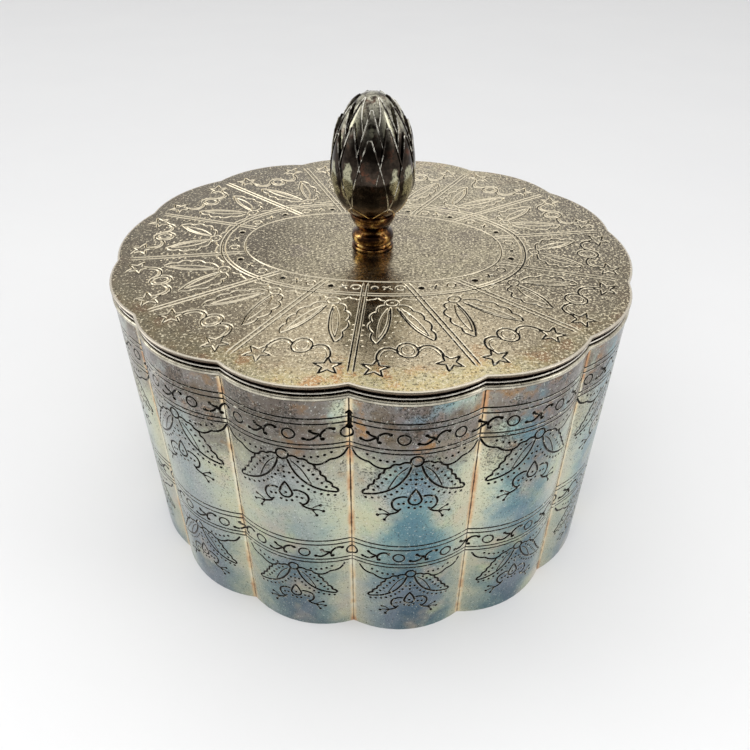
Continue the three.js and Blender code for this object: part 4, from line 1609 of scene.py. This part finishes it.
def stuff(obj, held_below, cap):
    """Swells a closed form like a stuffed pad, held fast below a height; lengths in millimetres."""
    scene = bpy.context.scene
    mesh = obj.data
    mesh.transform(Matrix.Scale(SIMULATION_SCALE, 4))
    rest = np.array([vertex.co for vertex in mesh.vertices])
    group = obj.vertex_groups.new(name="held")
    factor = SIMULATION_SCALE * MM
    group.add([i for i, place in enumerate(rest) if place[2] < held_below * factor], 1.0, "ADD")
    cloth = obj.modifiers.new("cloth", "CLOTH")
    cloth.settings.use_pressure = True
    cloth.settings.uniform_pressure_force = 4
    cloth.settings.effector_weights.gravity = 0
    cloth.settings.vertex_group_mass = "held"
    cloth.collision_settings.use_collision = False
    for number in range(1, SIMULATION_FRAMES + 1):
        scene.frame_set(number)
    moved = np.array([vertex.co for vertex in evaluated(obj).data.vertices]) - rest
    length = np.maximum(np.linalg.norm(moved, axis=1), 1e-9)
    moved *= (np.minimum(length, cap * factor) / length)[:, None]
    obj.modifiers.remove(cloth)
    obj.vertex_groups.clear()
    scene.frame_set(1)
    mesh.vertices.foreach_set("co", (rest + moved).ravel())
    mesh.transform(Matrix.Scale(1 / SIMULATION_SCALE, 4))


def subdivide(obj):
    modifier = obj.modifiers.new("smooth", "SUBSURF")
    modifier.levels = modifier.render_levels = 1
    bake(obj)
    obj.data.shade_smooth()


def pad_form(growth, hole, bottom, top):
    """A pad with the box's outline and rounded edges, with a round hole if hole isn't 0."""
    shoulder = arc((growth - PAD_ROLL, top - PAD_ROLL), PAD_ROLL, 0, 90, 5)
    section = [(growth - PAD_ROLL, bottom), (growth, bottom + PAD_HELD), *shoulder]
    outer = [level_ring(outline(inset, PAD_STEPS), height) for inset, height in section]
    inner = front_circle(max(hole, 0.01), len(outer[0]))
    for height in (top, bottom):
        outer.append(level_ring(inner, height))
    return weld(*loft(outer, closed=True))[:2]


def build_floor_pad():
    low, high = levels("floor_pad")
    vertices, faces = pad_form(FLOOR_PAD_GROWTH, 0, low, high - PAD_SWELL)
    obj = make_object("velvet_floor", vertices, faces, [VELVET], "box", ["floor_pad"])
    remesh(obj, PAD_VOXEL * MM)
    stuff(obj, low + PAD_HELD, PAD_SWELL)
    subdivide(obj)


def build_lid_pad():
    low, high = levels("lid_pad")
    vertices, faces = pad_form(LID_PAD_GROWTH, LID_PAD_HOLE, 0, high - low - PAD_SWELL)
    vertices[:, 2] = high - vertices[:, 2]
    faces = reversed_faces(faces)
    obj = make_object("velvet_lid_pad", vertices, faces, [VELVET], "lid", ["lid_pad"])
    remesh(obj, PAD_VOXEL * MM)
    obj.data.transform(Matrix.Scale(-1, 4, (0, 0, 1)))
    stuff(obj, -high + PAD_HELD, PAD_SWELL)
    obj.data.transform(Matrix.Scale(-1, 4, (0, 0, 1)))
    subdivide(obj)


def build_wall_lining():
    """Velvet over thin card round the inside of the wall, with a rolled top edge."""
    low, high = levels("wall_lining")
    heights = np.linspace(low, high - 0.5, 28)
    inner = [(LINING_FACE + LINING_WAVE * math.sin(height * 0.9), height) for height in heights]
    roll = arc(((LINING_BACK + LINING_FACE) / 2, high - 0.5), 0.5, 0, 180, 8)
    vertices, faces = sweep([(LINING_BACK, low), *roll, *inner[::-1]], 14)
    x, y, z = vertices.T
    ripple = LINING_RIPPLE * np.sin(x * 0.8 + z * 0.35) * np.sin(y * 0.7)
    reach = np.linalg.norm(vertices[:, :2], axis=1)
    vertices[:, :2] *= (1 + ripple / reach)[:, None]
    obj, _ = add_piece("velvet_wall", (vertices, faces), VELVET, "box", ["wall_lining"], 60)


build_wall()
build_lid()
build_rims()
build_base()
build_bud()
build_pedestal()
build_stud()
build_washer()
build_nut()
build_hinge()
build_floor_pad()
build_lid_pad()
build_wall_lining()

# ---- stage, light and camera

# Camera, about the middle of the lid's top: degrees and millimetres
CAMERA_AZIMUTH = 4.29
CAMERA_ELEVATION = 37.74
CAMERA_ROLL = 0.37
CAMERA_DISTANCE = 138.5
CAMERA_RIGHT = 0.63
CAMERA_UP = -25.9
CAMERA_LENS = 33.46
CAMERA_SENSOR = 36.0


def add_camera():
    azimuth, elevation, roll = map(math.radians, (CAMERA_AZIMUTH, CAMERA_ELEVATION, CAMERA_ROLL))
    level = math.cos(elevation)
    back = Vector((math.sin(azimuth) * level, -math.cos(azimuth) * level, math.sin(elevation)))
    right = Vector((math.cos(azimuth), math.sin(azimuth), 0))
    up = back.cross(right)
    middle = Vector((0, 0, LID_TOP))
    position = middle + back * CAMERA_DISTANCE + right * CAMERA_RIGHT + up * CAMERA_UP
    axis_x = right * math.cos(roll) + up * math.sin(roll)
    axis_y = up * math.cos(roll) - right * math.sin(roll)
    data = bpy.data.cameras.new("camera")
    data.lens = CAMERA_LENS
    data.sensor_width = CAMERA_SENSOR
    data.clip_start = 0.001
    camera = add_object("camera", data)
    turn = Matrix((axis_x, axis_y, back)).transposed().to_4x4()
    camera.matrix_world = Matrix.Translation(position * MM) @ turn
    bpy.context.scene.camera = camera


FLOOR_RADIUS = 4000
FLOOR_DROP = 0.02


def add_floor():
    """A wide pale disc under the object."""
    mesh = bpy.data.meshes.new("floor")
    vertices = level_ring(circle(96) * FLOOR_RADIUS, -FLOOR_DROP) * MM
    mesh.from_pydata(vertices.tolist(), [], [tuple(range(len(vertices)))])
    nodes = Nodes("floor_paper")
    tone = nodes.mix(nodes.noise(60, 3), (0.75, 0.75, 0.755), (0.78, 0.78, 0.78))
    nodes.set(Base_Color=tone, Roughness=0.6)
    nodes.bump((nodes.noise(0.8, 3), 0.1, 0.05))
    mesh.materials.append(nodes.material)
    floor = add_object("floor", mesh)


def add_light(name, place, size, power, in_gloss=True):
    """A soft area light that faces the middle of the object; place and size in metres."""
    data = bpy.data.lights.new(name, "AREA")
    data.shape = "RECTANGLE"
    data.size, data.size_y = size
    data.energy = power
    light = add_object(name, data)
    light.location = place
    towards = Vector((0, 0, 0.04)) - Vector(place)
    light.rotation_euler = towards.to_track_quat("-Z", "Y").to_euler()
    light.visible_glossy = in_gloss


def add_world():
    """A bright room that is dark at the front, where the photographer stands."""
    nodes = Nodes("room", "worlds", "Background")
    bpy.context.scene.world = nodes.material
    direction = nodes.node("ShaderNodeTexCoord").outputs["Generated"]
    ahead = nodes.node("ShaderNodeSeparateXYZ", {0: direction}).outputs["Y"]
    forward = nodes.node("ShaderNodeMapRange", {"Value": ahead, "From Min": -1, "From Max": 1})
    grey = nodes.ramp(forward.outputs[0], (0.0, 0.12), (0.13, 0.2), (0.32, 0.8), (1.0, 1.0))
    seen = nodes.node("ShaderNodeLightPath").outputs["Is Camera Ray"]
    nodes.set(Color=nodes.mix(seen, grey, (0.8, 0.8, 0.81)), Strength=1.0)


add_camera()
add_floor()
add_world()
add_light("overhead", (0.0, 0.15, 0.9), (1.0, 0.8), 1.3)
add_light("left_window", (-0.8, 0.1, 0.45), (0.35, 0.7), 1.1)
add_light("right_window", (0.75, -0.15, 0.5), (0.25, 0.6), 0.8)
add_light("front_fill", (0.0, -0.32, 0.3), (0.5, 0.3), 1.15, in_gloss=False)
bpy.context.scene.view_settings.view_transform = "Standard"
